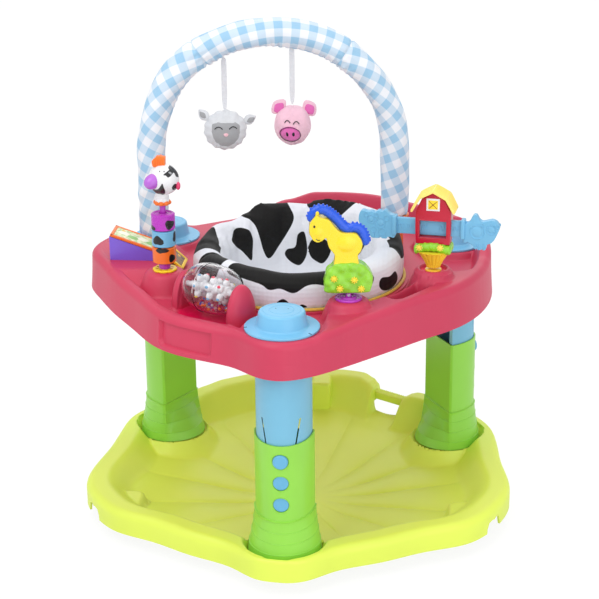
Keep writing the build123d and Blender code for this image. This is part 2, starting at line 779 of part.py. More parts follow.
for name, (along, strap_length, half_w, half_d, half_h) in plush_heads.items():
    strap_side = abs(along) + strap_width / 2
    hang = arch_spring_line + sqrt((arch_half - sleeve_radius) ** 2 - strap_side ** 2) - strap_gap
    hang_plane = Plane(origin=arch_plane.origin + arch_plane.x_dir * along + Vector(0, 0, hang),
                       x_dir=arch_plane.x_dir, z_dir=(0, 0, 1))
    with BuildPart() as strap:
        with BuildSketch(hang_plane):
            Rectangle(strap_width, strap_thick)
        extrude(amount=-strap_length)
    strap.part.label = f"{name}_strap"
    export_step(strap.part, f"parts/{name}_strap.step")
    head_plane = Plane(origin=hang_plane.origin - Vector(0, 0, strap_length + half_h), x_dir=arch_plane.x_dir,
                       z_dir=arch_plane.z_dir)
    with BuildPart() as plush:
        with BuildSketch(head_plane):
            Ellipse(half_w * plush_flank, half_h)
        extrude(amount=half_d, both=True)
        fillet(plush.edges().filter_by(GeomType.ELLIPSE), half_d * plush_round)
    plush.part.label = f"{name}_head"
    export_step(plush.part, f"parts/{name}_head.step")

# ---------------------------------------------------------------- cow spinner
spinner_x, spinner_y = polar(*spinner_place)


def spinner_plane(height):
    """A level plane on the spinner's rod."""
    return Plane(origin=(spinner_x, spinner_y, height), x_dir=(1, 0, 0), z_dir=(0, 0, 1))


with BuildPart() as spinner_rod:
    with BuildSketch(spinner_plane(boss_top + star_thick)):
        Circle(dome_radius)
    extrude(amount=dome_height)
    fillet(spinner_rod.faces().sort_by(Axis.Z)[-1].edges(), dome_round)
    with BuildSketch(spinner_plane(boss_top - wall)):
        Circle(rod_radius)
    extrude(amount=rod_top - boss_top + wall)
spinner_rod.part.label = "spinner_rod"
export_step(spinner_rod.part, "parts/spinner_rod.step")

with BuildPart() as spinner_star:
    with BuildSketch(spinner_plane(boss_top)):
        Circle(star_radius)
        with PolarLocations(star_radius, star_points):
            Circle(star_petal)
        Circle(rod_radius, mode=Mode.SUBTRACT)
    extrude(amount=star_thick)
spinner_star.part.label = "spinner_star"
export_step(spinner_star.part, "parts/spinner_star.step")

spin_foot = boss_top + star_thick + dome_height + rest_gap
for colour in ("orange", "blue", "purple"):
    with BuildPart() as spin:
        with BuildSketch(spinner_plane(spin_foot)):
            Circle(spin_radius)
            Circle(rod_radius + shaft_gap, mode=Mode.SUBTRACT)
        extrude(amount=spin_height)
    spin.part.label = f"spin_{colour}"
    export_step(spin.part, f"parts/spin_{colour}.step")
    spin_foot += spin_height + rest_gap

with BuildPart() as cow_collar:
    with BuildSketch(spinner_plane(cow_collar_bottom)):
        Circle(cow_collar_radius)
        Circle(rod_radius + shaft_gap, mode=Mode.SUBTRACT)
    extrude(amount=cow_collar_height)
cow_collar.part.label = "cow_collar"
export_step(cow_collar.part, "parts/cow_collar.step")

cow_neck_bottom = cow_collar_bottom + cow_collar_height
with BuildPart() as cow_head:
    with BuildSketch(spinner_plane(cow_neck_bottom)):
        Circle(cow_neck_radius)
    extrude(amount=cow_head_height - cow_neck_bottom)
    with BuildSketch(spinner_plane(cow_head_height)):
        Circle(cow_head_radius)
    extrude(amount=cow_head_half_height, both=True)
    fillet(cow_head.edges().filter_by(GeomType.CIRCLE).group_by(SortBy.RADIUS)[-1], cow_head_half_height / 2)
    # muzzle towards the left front
    with BuildSketch(Plane(origin=(spinner_x, spinner_y, cow_head_height), z_dir=(-1, -1, 0))):
        Circle(cow_muzzle_radius)
    extrude(amount=cow_muzzle_out + cow_muzzle_radius)
    with BuildSketch(spinner_plane(cow_neck_bottom)):
        Circle(rod_radius + shaft_gap)
    extrude(amount=rod_top + rest_gap - cow_neck_bottom, mode=Mode.SUBTRACT)
cow_head.part.label = "cow_head"
export_step(cow_head.part, "parts/cow_head.step")

with BuildPart() as cow_hair:
    with BuildSketch(spinner_plane(cow_head_height + cow_head_half_height)):
        Rectangle(cow_hair_width, cow_hair_width / 2)
    extrude(amount=cow_hair_top - cow_head_height - cow_head_half_height)
cow_hair.part.label = "cow_hair"
export_step(cow_hair.part, "parts/cow_hair.step")

# ---------------------------------------------------------------- clear barrel rattle
barrel_axis = Axis(barrel_plane.origin, barrel_plane.x_dir)
hub = axle_radius + shaft_gap
for name, hand in (("left", -1), ("right", 1)):
    with BuildPart() as barrel_shell:
        with BuildSketch(barrel_plane):
            with BuildLine():
                outer = [(0, barrel_radius), (hand * barrel_shoulder[0], barrel_shoulder[1]),
                         (hand * barrel_half_length, barrel_end_radius)]
                inner = [(hand * (barrel_half_length - barrel_wall), barrel_end_radius - barrel_wall),
                         (outer[1][0], outer[1][1] - barrel_wall), (0, barrel_radius - barrel_wall)]
                Polyline(*outer, (hand * barrel_half_length, hub), (hand * (barrel_half_length - barrel_wall), hub),
                         *inner, close=True)
            make_face()
        revolve(axis=barrel_axis)
    barrel_shell.part.label = f"barrel_shell_{name}"
    export_step(barrel_shell.part, f"parts/barrel_shell_{name}.step")

axle_plane = Plane(barrel_plane.origin, x_dir=barrel_plane.z_dir, z_dir=barrel_plane.x_dir)
with BuildPart() as barrel_axle:
    with BuildSketch(axle_plane):
        Circle(axle_radius)
    extrude(amount=arm_inner + arm_thick, both=True)
barrel_axle.part.label = "barrel_axle"
export_step(barrel_axle.part, "parts/barrel_axle.step")

with BuildPart() as barrel_core:
    with BuildSketch(axle_plane):
        Circle(core_radius)
        Circle(hub, mode=Mode.SUBTRACT)
    extrude(amount=barrel_half_length - barrel_wall, both=True)
barrel_core.part.label = "barrel_core"
export_step(barrel_core.part, "parts/barrel_core.step")

with BuildPart() as barrel_beads:
    for bead in range(bead_count):
        bead_place = (bead - (bead_count - 1) / 2) * (2 * bead_radius + rest_gap)
        with Locations(barrel_plane.origin + barrel_plane.x_dir * bead_place
                       - Vector(0, 0, core_radius + bead_radius + rest_gap)):
            Sphere(bead_radius)
barrel_beads.part.label = "barrel_beads"
export_step(barrel_beads.part, "parts/barrel_beads.step")

# ---------------------------------------------------------------- rocking horse
horse_plane = facing_plane(*polar(*horse_place), horse_turn)
with BuildPart() as horse_base:
    with BuildSketch(Plane(horse_plane.origin + Vector(0, 0, boss_top), x_dir=horse_plane.x_dir, z_dir=(0, 0, 1))):
        Circle(horse_base_radius)
    extrude(amount=horse_base_height)
    lug_low, lug_high = boss_top + horse_base_height, horse_pin_height + horse_lug_rise
    for hand in (-1, 1):
        with BuildSketch(horse_plane.offset(hand * (horse_tongue / 2 + slide_gap + horse_lug / 2) - horse_lug / 2)):
            with Locations((0, (lug_low + lug_high) / 2)):
                Rectangle(2 * horse_lug, lug_high - lug_low)
        extrude(amount=horse_lug)
    with BuildSketch(horse_plane.offset(-horse_base_radius)):
        with Locations((0, horse_pin_height)):
            Circle(horse_pin_radius)
    extrude(amount=2 * horse_base_radius, mode=Mode.SUBTRACT)
horse_base.part.label = "horse_base"
export_step(horse_base.part, "parts/horse_base.step")

pin_half = horse_tongue / 2 + slide_gap + horse_lug
with BuildPart() as horse_pin:
    with BuildSketch(horse_plane):
        with Locations((0, horse_pin_height)):
            Circle(horse_pin_radius)
    extrude(amount=pin_half, both=True)
horse_pin.part.label = "horse_pin"
export_step(horse_pin.part, "parts/horse_pin.step")

bush_top = bush_bottom + bush_height
with BuildPart() as horse_bush:
    with BuildSketch(horse_plane):
        with BuildLine():
            Polyline((-bush_half_width, bush_bottom), (bush_half_width, bush_bottom),
                     (bush_half_width, bush_bottom + bush_height / 3), (bush_half_width * 0.7, bush_top - bush_height / 4),
                     (bush_half_width * 0.4, bush_top), (-bush_half_width * 0.4, bush_top),
                     (-bush_half_width * 0.7, bush_top - bush_height / 4), (-bush_half_width, bush_bottom + bush_height / 3),
                     close=True)
        make_face()
    extrude(amount=bush_thick / 2, both=True)
    # tongue on the pin
    with BuildSketch(horse_plane):
        with Locations((0, horse_pin_height)):
            Circle(horse_lug)
        with Locations((0, (horse_pin_height + bush_bottom) / 2)):
            Rectangle(2 * horse_lug, bush_bottom - horse_pin_height)
    extrude(amount=horse_tongue / 2, both=True)
    with BuildSketch(horse_plane):
        with Locations((0, horse_pin_height)):
            Circle(horse_pin_radius + shaft_gap)
    extrude(amount=horse_tongue, both=True, mode=Mode.SUBTRACT)
horse_bush.part.label = "horse_bush"
export_step(horse_bush.part, "parts/horse_bush.step")

with BuildPart() as horse_body:
    with BuildSketch(horse_plane):
        with BuildLine():
            Polyline(*horse_outline, close=True)
        make_face()
    extrude(amount=horse_thick / 2, both=True)
horse_body.part.label = "horse_body"
export_step(horse_body.part, "parts/horse_body.step")

with BuildPart() as horse_mane:
    with BuildSketch(horse_plane):
        with Locations(*mane_curls):
            Circle(curl_radius)
        with BuildLine():
            Polyline(*horse_outline, close=True)
        make_face(mode=Mode.SUBTRACT)
    extrude(amount=mane_thick / 2, both=True)
horse_mane.part.label = "horse_mane"
export_step(horse_mane.part, "parts/horse_mane.step")

with BuildPart() as bush_flowers:
    with BuildSketch(horse_plane.offset(bush_thick / 2)):
        with Locations((-bush_half_width * 0.5, bush_bottom + bush_height * 0.6),
                       (bush_half_width * 0.3, bush_bottom + bush_height * 0.6),
                       (-bush_half_width * 0.3, bush_bottom + bush_height * 0.25),
                       (bush_half_width * 0.6, bush_bottom + bush_height * 0.25)):
            Circle(flower_radius)
    extrude(amount=flower_thick)
bush_flowers.part.label = "bush_flowers"
export_step(bush_flowers.part, "parts/bush_flowers.step")

# ---------------------------------------------------------------- barn with the sliding bar
barn_plane = facing_plane(*polar(*barn_place), barn_turn)


def barn_level(height):
    """A level plane on the barn's upright axis."""
    return Plane(barn_plane.origin + Vector(0, 0, height), x_dir=barn_plane.x_dir, z_dir=(0, 0, 1))


with BuildPart() as barn_pot:
    with BuildSketch(barn_level(boss_top)):
        Circle(pot_radius)
    extrude(amount=pot_height, taper=pot_taper)
barn_pot.part.label = "barn_pot"
export_step(barn_pot.part, "parts/barn_pot.step")

with BuildPart() as barn_leaves:
    with BuildSketch(barn_level(boss_top + pot_height)):
        Ellipse(leaf_half_width, leaf_half_width * 0.6)
    extrude(amount=barn_bottom - boss_top - pot_height)
barn_leaves.part.label = "barn_leaves"
export_step(barn_leaves.part, "parts/barn_leaves.step")

barn_outline = [(-barn_half_width, barn_bottom), (barn_half_width, barn_bottom), (barn_half_width, barn_eave),
                (barn_knee_half, barn_knee), (0, barn_ridge), (-barn_knee_half, barn_knee),
                (-barn_half_width, barn_eave)]
with BuildPart() as barn_body:
    with BuildSketch(barn_plane):
        with BuildLine():
            Polyline(*barn_outline, close=True)
        make_face()
        with Locations((0, bar_centre_height)):
            Rectangle(window_opening, window_opening_height, mode=Mode.SUBTRACT)
    extrude(amount=barn_depth / 2, both=True)
    # slot through both side walls for the bar
    with BuildSketch(barn_plane):
        with Locations((0, bar_centre_height)):
            Rectangle(4 * barn_half_width, bar_height + 2 * slide_gap)
    extrude(amount=bar_thick / 2 + slide_gap, both=True, mode=Mode.SUBTRACT)
barn_body.part.label = "barn_body"
export_step(barn_body.part, "parts/barn_body.step")

with BuildPart() as barn_roof:
    with BuildSketch(barn_plane):
        with BuildLine():
            Polyline((-barn_half_width - roof_thick, barn_eave - roof_overhang),
                     (barn_half_width + roof_thick, barn_eave - roof_overhang),
                     (barn_knee_half + roof_thick, barn_knee + roof_thick), (0, barn_ridge + roof_thick),
                     (-barn_knee_half - roof_thick, barn_knee + roof_thick), close=True)
        make_face()
        with BuildLine():
            Polyline(*barn_outline, close=True)
        make_face(mode=Mode.SUBTRACT)
    extrude(amount=barn_depth / 2 + roof_overhang, both=True)
barn_roof.part.label = "barn_roof"
export_step(barn_roof.part, "parts/barn_roof.step")

with BuildPart() as barn_window:
    with BuildSketch(barn_plane.offset(barn_depth / 2)):
        with Locations((0, loft_window_height)):
            Rectangle(loft_window, loft_window)
    extrude(amount=loft_window_thick)
barn_window.part.label = "barn_window"
export_step(barn_window.part, "parts/barn_window.step")

figure_middle = (figure_bottom + figure_top) / 2
with BuildPart() as animal_bar:
    with BuildSketch(barn_plane):
        with Locations((sum(figure_inner) / 2, bar_centre_height)):
            Rectangle(figure_inner[1] - figure_inner[0], bar_height)
    extrude(amount=bar_thick / 2, both=True)
    with BuildSketch(barn_plane):
        with Locations((figure_inner[0] - figure_width / 2, figure_middle),
                       (figure_inner[1] + figure_width / 2, figure_middle)):
            RectangleRounded(figure_width, figure_top - figure_bottom, figure_thick / 2)
    extrude(amount=figure_thick / 2, both=True)
animal_bar.part.label = "animal_bar"
export_step(animal_bar.part, "parts/animal_bar.step")

# ---------------------------------------------------------------- picture book
book_plane = facing_plane(0, book_near, 0)
book_depth = book_far - book_near
pin_x, pin_z = book_spine
page_slope = tan(radians(180 - page_rest_angle))
page_under = page_thick / 2 / cos(radians(180 - page_rest_angle)) + rest_gap
page_start = book_knuckle + page_clearance
stand_right = pin_x - page_start


def stand_top(x):
    """Height of the stand under the resting page."""
    return pin_z + (pin_x - x) * page_slope - page_under


def page_direction(angle, distance):
    """A point on a page, at a distance from the spine."""
    return (pin_x + distance * cos(radians(angle)), pin_z + distance * sin(radians(angle)))


with BuildPart() as book_stand:
    with BuildSketch(book_plane):
        with BuildLine():
            Polyline((stand_left, tray_floor), (stand_right, tray_floor), (stand_right, stand_top(stand_right)),
                     (stand_left, stand_top(stand_left)), close=True)
        make_face()
    extrude(amount=-book_depth)
    for depth in (0, book_depth - stand_ear):
        with BuildSketch(book_plane.offset(-depth)):
            with Locations(book_spine):
                Circle(book_knuckle)
            with Locations(((stand_right + pin_x + book_pin) / 2, (tray_floor + pin_z) / 2)):
                Rectangle(pin_x + book_pin - stand_right, pin_z - tray_floor)
            with Locations(book_spine):
                Circle(book_pin, mode=Mode.SUBTRACT)
        extrude(amount=-stand_ear)
book_stand.part.label = "book_stand"
export_step(book_stand.part, "parts/book_stand.step")

with BuildPart() as book_pin_rod:
    with BuildSketch(book_plane):
        with Locations(book_spine):
            Circle(book_pin)
    extrude(amount=-book_depth)
book_pin_rod.part.label = "book_pin"
export_step(book_pin_rod.part, "parts/book_pin.step")

# the two pages share the pin, each with its own half of the knuckle
knuckle_length = (book_depth - 2 * stand_ear) / 2 - 2 * slide_gap
for name, angle, length, knuckle_from in (("orange", page_rest_angle, page_length, stand_ear + slide_gap),
                                          ("yellow", flap_angle, flap_length, book_depth / 2 + slide_gap)):
    with BuildPart() as page:
        for start, depth, place in ((page_start, book_depth, 0), (0, knuckle_length, knuckle_from)):
            with BuildSketch(book_plane.offset(-place)):
                with Locations(page_direction(angle, (start + length) / 2)):
                    Rectangle(length - start, page_thick, rotation=angle)
                if start == 0:
                    with Locations(book_spine):
                        Circle(book_knuckle)
                        Circle(book_pin + shaft_gap, mode=Mode.SUBTRACT)
            extrude(amount=-depth)
    page.part.label = f"page_{name}"
    export_step(page.part, f"parts/page_{name}.step")
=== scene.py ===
"""Looks of a baby's activity jumper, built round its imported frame. Lengths are in millimetres."""
import json
import math

import bpy
import numpy as np
from mathutils import Matrix, Vector

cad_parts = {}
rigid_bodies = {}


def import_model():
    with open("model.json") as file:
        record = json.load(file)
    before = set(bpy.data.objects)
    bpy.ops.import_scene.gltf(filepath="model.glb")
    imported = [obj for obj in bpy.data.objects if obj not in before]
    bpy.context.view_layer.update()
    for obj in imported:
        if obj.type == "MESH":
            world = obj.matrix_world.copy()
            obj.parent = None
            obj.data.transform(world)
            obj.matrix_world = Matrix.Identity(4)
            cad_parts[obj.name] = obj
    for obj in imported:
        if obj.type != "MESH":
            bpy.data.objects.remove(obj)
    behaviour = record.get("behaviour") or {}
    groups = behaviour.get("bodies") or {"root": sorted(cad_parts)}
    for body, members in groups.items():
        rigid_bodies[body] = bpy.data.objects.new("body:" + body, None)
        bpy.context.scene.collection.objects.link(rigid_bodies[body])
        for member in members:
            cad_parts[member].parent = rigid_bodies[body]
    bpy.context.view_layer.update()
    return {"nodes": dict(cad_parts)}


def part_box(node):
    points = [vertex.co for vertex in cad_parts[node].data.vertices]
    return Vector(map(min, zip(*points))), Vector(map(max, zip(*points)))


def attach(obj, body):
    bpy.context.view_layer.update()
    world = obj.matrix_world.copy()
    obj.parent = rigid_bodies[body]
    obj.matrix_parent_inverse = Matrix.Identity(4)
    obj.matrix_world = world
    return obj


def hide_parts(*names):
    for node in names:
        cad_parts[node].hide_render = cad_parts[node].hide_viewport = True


for leftover in list(bpy.data.objects):
    bpy.data.objects.remove(leftover)
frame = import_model()

bl_info = {
    "name": "Activity jumper",
    "version": (1, 0, 0),
    "blender": (4, 5, 0),
    "location": "View3D > Sidebar > Jumper",
    "description": "Builds the shells, toys and padded cloth of a baby's activity jumper",
    "category": "Object",
}

MM = 0.001
UP = Vector((0, 0, 1))


# ---------------------------------------------------------------- places
def low(node):
    """Lowest corner of a CAD node in millimetres."""
    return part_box(node)[0] / MM


def high(node):
    """Highest corner of a CAD node in millimetres."""
    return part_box(node)[1] / MM


def middle(node):
    return (low(node) + high(node)) / 2


def polar(radius, angle, height=0.0):
    """A point at an angle in degrees from the front, towards the right."""
    return Vector((radius * math.sin(math.radians(angle)), -radius * math.cos(math.radians(angle)), height))


def outline_radius(node, height):
    """A function giving the node's outer radius at a height, for angles in radians from the front."""
    shell = frame["nodes"][node]
    angles = np.radians(np.arange(0, 360, 0.5))
    radii = []
    for angle in angles:
        away = Vector((math.sin(angle), -math.cos(angle), 0))
        hit, point, _, _ = shell.ray_cast(away + UP * height * MM, -away)
        radii.append(point.xy.length / MM if hit else radii[-1])
    return lambda theta: np.interp(theta, angles, radii, period=2 * math.pi)


def eased(value, start, end):
    """0 before start, 1 after end, with a smooth turn between; start may be above end."""
    t = np.clip((value - start) / (end - start), 0, 1)
    return t * t * (3 - 2 * t)


def smooth_max(a, b, blend):
    """The larger of two heights, rounded over the blend where they meet."""
    h = np.clip(0.5 + 0.5 * (a - b) / blend, 0, 1)
    return b + (a - b) * h + blend * h * (1 - h)


def around(controls, theta):
    """A smooth periodic value through (degrees, value) controls, for an array of radians."""
    angles = np.array([c[0] for c in controls], float)
    values = np.array([c[1] for c in controls], float)
    angles = np.concatenate([angles - 360, angles, angles + 360])
    values = np.tile(values, 3)
    degrees = np.degrees(theta)
    place = np.clip(np.searchsorted(angles, degrees) - 1, 0, len(angles) - 2)
    share = (degrees - angles[place]) / (angles[place + 1] - angles[place])
    share = share * share * (3 - 2 * share)
    return values[place] * (1 - share) + values[place + 1] * share


# ---------------------------------------------------------------- modelling
def clear_selection():
    if bpy.context.mode != "OBJECT":
        bpy.ops.object.mode_set(mode="OBJECT")
    bpy.ops.object.select_all(action="DESELECT")


def activate(piece):
    clear_selection()
    piece.select_set(True)
    bpy.context.view_layer.objects.active = piece


def edit(piece, everything=True):
    activate(piece)
    bpy.ops.object.mode_set(mode="EDIT")
    bpy.ops.mesh.select_all(action="SELECT" if everything else "DESELECT")


def done():
    bpy.ops.object.mode_set(mode="OBJECT")


def link(name, mesh):
    piece = bpy.data.objects.new(name, mesh)
    bpy.context.collection.objects.link(piece)
    return piece


def tidy_mesh(piece, merge=0.01):
    """Merges doubles and turns all faces outwards."""
    edit(piece)
    bpy.ops.mesh.remove_doubles(threshold=merge * MM)
    bpy.ops.mesh.normals_make_consistent(inside=False)
    done()
    return piece


def settle(piece):
    """Puts the object's place into its mesh."""
    activate(piece)
    bpy.ops.object.transform_apply(location=True, rotation=True, scale=True)
    return piece


def apply_modifier(piece, kind, **values):
    activate(piece)
    modifier = piece.modifiers.new(kind, kind)
    for key, value in values.items():
        setattr(modifier, key, value)
    bpy.ops.object.modifier_apply(modifier=modifier.name)
    return piece


def smooth(piece, angle=40):
    activate(piece)
    bpy.ops.object.shade_smooth_by_angle(angle=math.radians(angle))
    return piece


def join(name, pieces):
    """One mesh of several pieces."""
    pieces = list(pieces)
    clear_selection()
    for piece in pieces:
        piece.select_set(True)
    bpy.context.view_layer.objects.active = pieces[0]
    if len(pieces) > 1:
        bpy.ops.object.join()
    pieces[0].name = name
    return pieces[0]


def move(piece, matrix):
    """Turns and shifts the mesh itself; the matrix is in millimetres."""
    shift = matrix.copy()
    shift.translation *= MM
    piece.data.transform(shift)
    piece.data.update()
    return piece


def copy_of(piece, name, matrix=None):
    twin = link(name, piece.data.copy())
    return move(twin, matrix) if matrix else twin


def spun_rows(name, rows, steps, place):
    """Rows spun from a straight line into rings, then placed by place(row, angle) in millimetres."""
    first = 100
    mesh = bpy.data.meshes.new(name)
    mesh.from_pydata([(first + k, 0, 0) for k in range(rows)], [(k, k + 1) for k in range(rows - 1)], [])
    piece = link(name, mesh)
    edit(piece)
    bpy.ops.mesh.spin(steps=steps, angle=2 * math.pi, center=(0, 0, 0), axis=(0, 0, 1))
    bpy.ops.mesh.select_all(action="SELECT")
    bpy.ops.mesh.remove_doubles(threshold=0.01)
    done()
    corners = np.empty(len(mesh.vertices) * 3)
    mesh.vertices.foreach_get("co", corners)
    corners = corners.reshape(-1, 3)
    row = np.rint(np.hypot(corners[:, 0], corners[:, 1])).astype(int) - first
    angle = np.arctan2(corners[:, 1], corners[:, 0])
    mesh.vertices.foreach_set("co", (place(row, angle) * MM).ravel())
    mesh.update()
    return tidy_mesh(piece, 0.02)


def lathe(name, profile, centre=(0, 0), steps=96, rounding=0.0):
    """A turned piece: (radius, height) points spun about a vertical axis, corners rounded if asked."""
    mesh = bpy.data.meshes.new(name)
    points = rounded_profile(profile, rounding) if rounding else profile
    mesh.from_pydata([(r * MM, 0, z * MM) for r, z in points], [(k, k + 1) for k in range(len(points) - 1)], [])
    piece = link(name, mesh)
    edit(piece)
    bpy.ops.mesh.spin(steps=steps, angle=2 * math.pi, center=(0, 0, 0), axis=(0, 0, 1))
    done()
    move(piece, Matrix.Translation((centre[0], centre[1], 0)))
    return smooth(tidy_mesh(piece))


def rounded_profile(profile, radius, segments=4):
    """The same open profile with its inner corners rounded."""
    points = [Vector(p) for p in profile]
    result = [points[0]]
    for before, corner, after in zip(points, points[1:], points[2:]):
        to_before, to_after = before - corner, after - corner
        reach = min(radius, to_before.length / 2.1, to_after.length / 2.1)
        if reach < 0.05 or abs(to_before.normalized().dot(to_after.normalized())) > 0.995:
            result.append(corner)
            continue
        start, end = corner + to_before.normalized() * reach, corner + to_after.normalized() * reach
        for k in range(segments + 1):
            t = k / segments
            result.append(start * (1 - t) ** 2 + corner * 2 * t * (1 - t) + end * t * t)
    result.append(points[-1])
    return [tuple(p) for p in result]


def block(name, corner_low, corner_high, bevel=1.0, segments=3):
    """A box with rounded edges between two corners."""
    clear_selection()
    size = Vector(corner_high) - Vector(corner_low)
    centre = (Vector(corner_high) + Vector(corner_low)) / 2
    bpy.ops.mesh.primitive_cube_add(size=1, location=centre * MM)
    piece = bpy.context.object
    piece.name = name
    piece.scale = size * MM
    settle(piece)
    edit(piece)
    bpy.ops.mesh.bevel(offset=bevel * MM, segments=segments, affect="EDGES")
    done()
    return smooth(piece)


def prism(name, outline, bottom, top, bevel=1.0, segments=3, matrix=None):
    """A flat outline in XY raised from bottom to top, its rims rounded."""
    clear_selection()
    bpy.ops.mesh.primitive_circle_add(vertices=len(outline), fill_type="NGON")
    piece = bpy.context.object
    piece.name = name
    area = sum(a[0] * b[1] - b[0] * a[1] for a, b in zip(outline, outline[1:] + outline[:1]))
    points = outline if area > 0 else outline[::-1]
    for vertex, (x, y) in zip(piece.data.vertices, points):
        vertex.co = (x * MM, y * MM, bottom * MM)
    edit(piece)
    bpy.ops.mesh.extrude_region_move(TRANSFORM_OT_translate={"value": (0, 0, (top - bottom) * MM)})
    bpy.ops.mesh.select_all(action="SELECT")
    bpy.ops.mesh.normals_make_consistent(inside=False)
    done()
    if bevel:
        apply_modifier(piece, "BEVEL", width=bevel * MM, segments=segments, limit_method="ANGLE",
                       angle_limit=math.radians(40))
    if matrix:
        move(piece, matrix)
    return smooth(piece)


def ellipsoid(name, centre, radii, segments=40):
    clear_selection()
    bpy.ops.mesh.primitive_uv_sphere_add(segments=segments, ring_count=segments // 2, radius=1)
    piece = bpy.context.object
    piece.name = name
    move(piece, Matrix.Translation(Vector(centre) / MM / 1000) @ Matrix.Diagonal((*[r * MM for r in radii], 1)))
    return smooth(piece, 80)


def tube(name, points, radius, resolution=8, closed=False, samples=12):
    """A round bar along a smooth line through the points."""
    curve = bpy.data.curves.new(name, "CURVE")
    curve.dimensions = "3D"
    curve.bevel_depth = radius * MM
    curve.bevel_resolution = resolution // 2
    curve.resolution_u = samples
    curve.use_fill_caps = True
    line = curve.splines.new("BEZIER")
    line.bezier_points.add(len(points) - 1)
    for knot, point in zip(line.bezier_points, points):
        knot.co = Vector(point) * MM
        knot.handle_left_type = knot.handle_right_type = "AUTO"
    line.use_cyclic_u = closed
    piece = link(name, curve)
    activate(piece)
    bpy.ops.object.convert(target="MESH")
    piece = bpy.context.object
    piece.name = name
    return smooth(tidy_mesh(piece), 60)


def melt(piece, voxel, rounds=6, factor=0.6):
    """Fuses overlapping lumps into one skin and softens it."""
    apply_modifier(piece, "REMESH", mode="VOXEL", voxel_size=voxel * MM)
    apply_modifier(piece, "SMOOTH", factor=factor, iterations=rounds)
    return smooth(piece, 80)


def cut(piece, cutter):
    """Cuts the cutter's shape out of the piece and removes the cutter."""
    apply_modifier(piece, "BOOLEAN", object=cutter, operation="DIFFERENCE", solver="EXACT")
    bpy.data.objects.remove(cutter)
    return piece


def keep(piece, body, material, slot, nodes=()):
    """Finishes a piece: its material, the body that carries it and the CAD nodes that it stands for; the slot is
    not used.
    """
    if material:
        piece.data.materials.clear()
        piece.data.materials.append(material)
    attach(piece, body)
    if nodes:
        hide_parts(*nodes)
    return piece


# ---------------------------------------------------------------- finishes
def linear(red, green, blue):
    """An sRGB colour of 0 to 255 as Blender's linear colour."""
    return tuple(((c / 255 + 0.055) / 1.055) ** 2.4 if c > 10 else c / 255 / 12.92 for c in (red, green, blue))


def node(tree, kind, **values):
    made = tree.nodes.new(kind)
    for key, value in values.items():
        if key in made.inputs:
            made.inputs[key].default_value = value
        else:
            setattr(made, key.lower(), value)
    return made


def noise(tree, scale, detail=2.0, source=None):
    texture = node(tree, "ShaderNodeTexNoise", Scale=scale, Detail=detail)
    source = source or coordinates(tree)
    tree.links.new(source, texture.inputs["Vector"])
    return texture.outputs["Fac"]


def coordinates(tree, kind="Object"):
    found = tree.nodes.get("Place") or node(tree, "ShaderNodeTexCoord", Name="Place")
    found.name = "Place"
    return found.outputs[kind]


def blended(tree, factor, first, second, mode="MIX"):
    """A colour between two colours or colour outputs."""
    mix = tree.nodes.new("ShaderNodeMix")
    mix.data_type = "RGBA"
    mix.blend_type = mode
    for socket, value in ((0, factor), (6, first), (7, second)):
        if hasattr(value, "links"):
            tree.links.new(value, mix.inputs[socket])
        else:
            mix.inputs[socket].default_value = value if socket == 0 else (*value[:3], 1)
    return mix.outputs[2]


def math_node(tree, operation, *values):
    step = node(tree, "ShaderNodeMath")
    step.operation = operation
    for socket, value in zip(step.inputs, values):
        if hasattr(value, "links"):
            tree.links.new(value, socket)
        else:
            socket.default_value = value
    return step.outputs[0]


def ranged(tree, value, low_in, high_in, low_out, high_out):
    step = node(tree, "ShaderNodeMapRange")
    for socket, amount in zip(step.inputs[1:5], (low_in, high_in, low_out, high_out)):
        socket.default_value = amount
    tree.links.new(value, step.inputs[0])
    return step.outputs[0]


def surface(name, colour, roughness=0.4, variation=0.06, patch=9.0, grain=900.0, grain_depth=0.05, bump=None,
            **shader_values):
    """A finish with slow colour variation and a fine grain. Returns (material, tree, colour output)."""
    material = bpy.data.materials.new(name)
    material.use_nodes = True
    tree = material.node_tree
    shader = tree.nodes["Principled BSDF"]
    for key, value in shader_values.items():
        shader.inputs[key.replace("_", " ")].default_value = value
    cloud = noise(tree, patch, 3.0)
    lighter = [min(1.0, c * (1 + variation)) for c in colour]
    darker = [c * (1 - variation) for c in colour]
    tint = blended(tree, ranged(tree, cloud, 0.3, 0.7, 0, 1), darker, lighter)
    fine = noise(tree, grain, 2.0)
    gloss = math_node(tree, "ADD", ranged(tree, cloud, 0.3, 0.7, roughness - 0.04, roughness + 0.03),
                      ranged(tree, fine, 0.3, 0.7, -0.03, 0.03))
    tree.links.new(tint, shader.inputs["Base Color"])
    tree.links.new(gloss, shader.inputs["Roughness"])
    relief = node(tree, "ShaderNodeBump", Strength=grain_depth, Distance=0.0006)
    tree.links.new(fine if bump is None else bump(tree), relief.inputs["Height"])
    tree.links.new(relief.outputs[0], shader.inputs["Normal"])
    return material, tree, tint


def plastic(name, colour, roughness=0.36, **values):
    """Moulded plastic with a fine spark texture."""
    return surface(name, colour, roughness, **values)[0]


def marked(name, colour, mark, attribute, roughness=0.7, edge=0.25, **values):
    """A finish with marks where the piece's own attribute is above zero."""
    material, tree, tint = surface(name, colour, roughness, **values)
    field = node(tree, "ShaderNodeAttribute")
    field.attribute_name = attribute
    inside = ranged(tree, field.outputs["Fac"], -edge, edge, 0, 1)
    both = blended(tree, inside, tint, mark)
    tree.links.new(both, tree.nodes["Principled BSDF"].inputs["Base Color"])
    return material


def give_field(piece, name, values):
    """Stores one number for each corner point of the piece."""
    field = piece.data.attributes.new(name, "FLOAT", "POINT")
    field.data.foreach_set("value", np.asarray(values, np.float32))
    return piece


def corners_of(piece):
    """The piece's points in millimetres."""
    corners = np.empty(len(piece.data.vertices) * 3)
    piece.data.vertices.foreach_get("co", corners)
    return corners.reshape(-1, 3) / MM


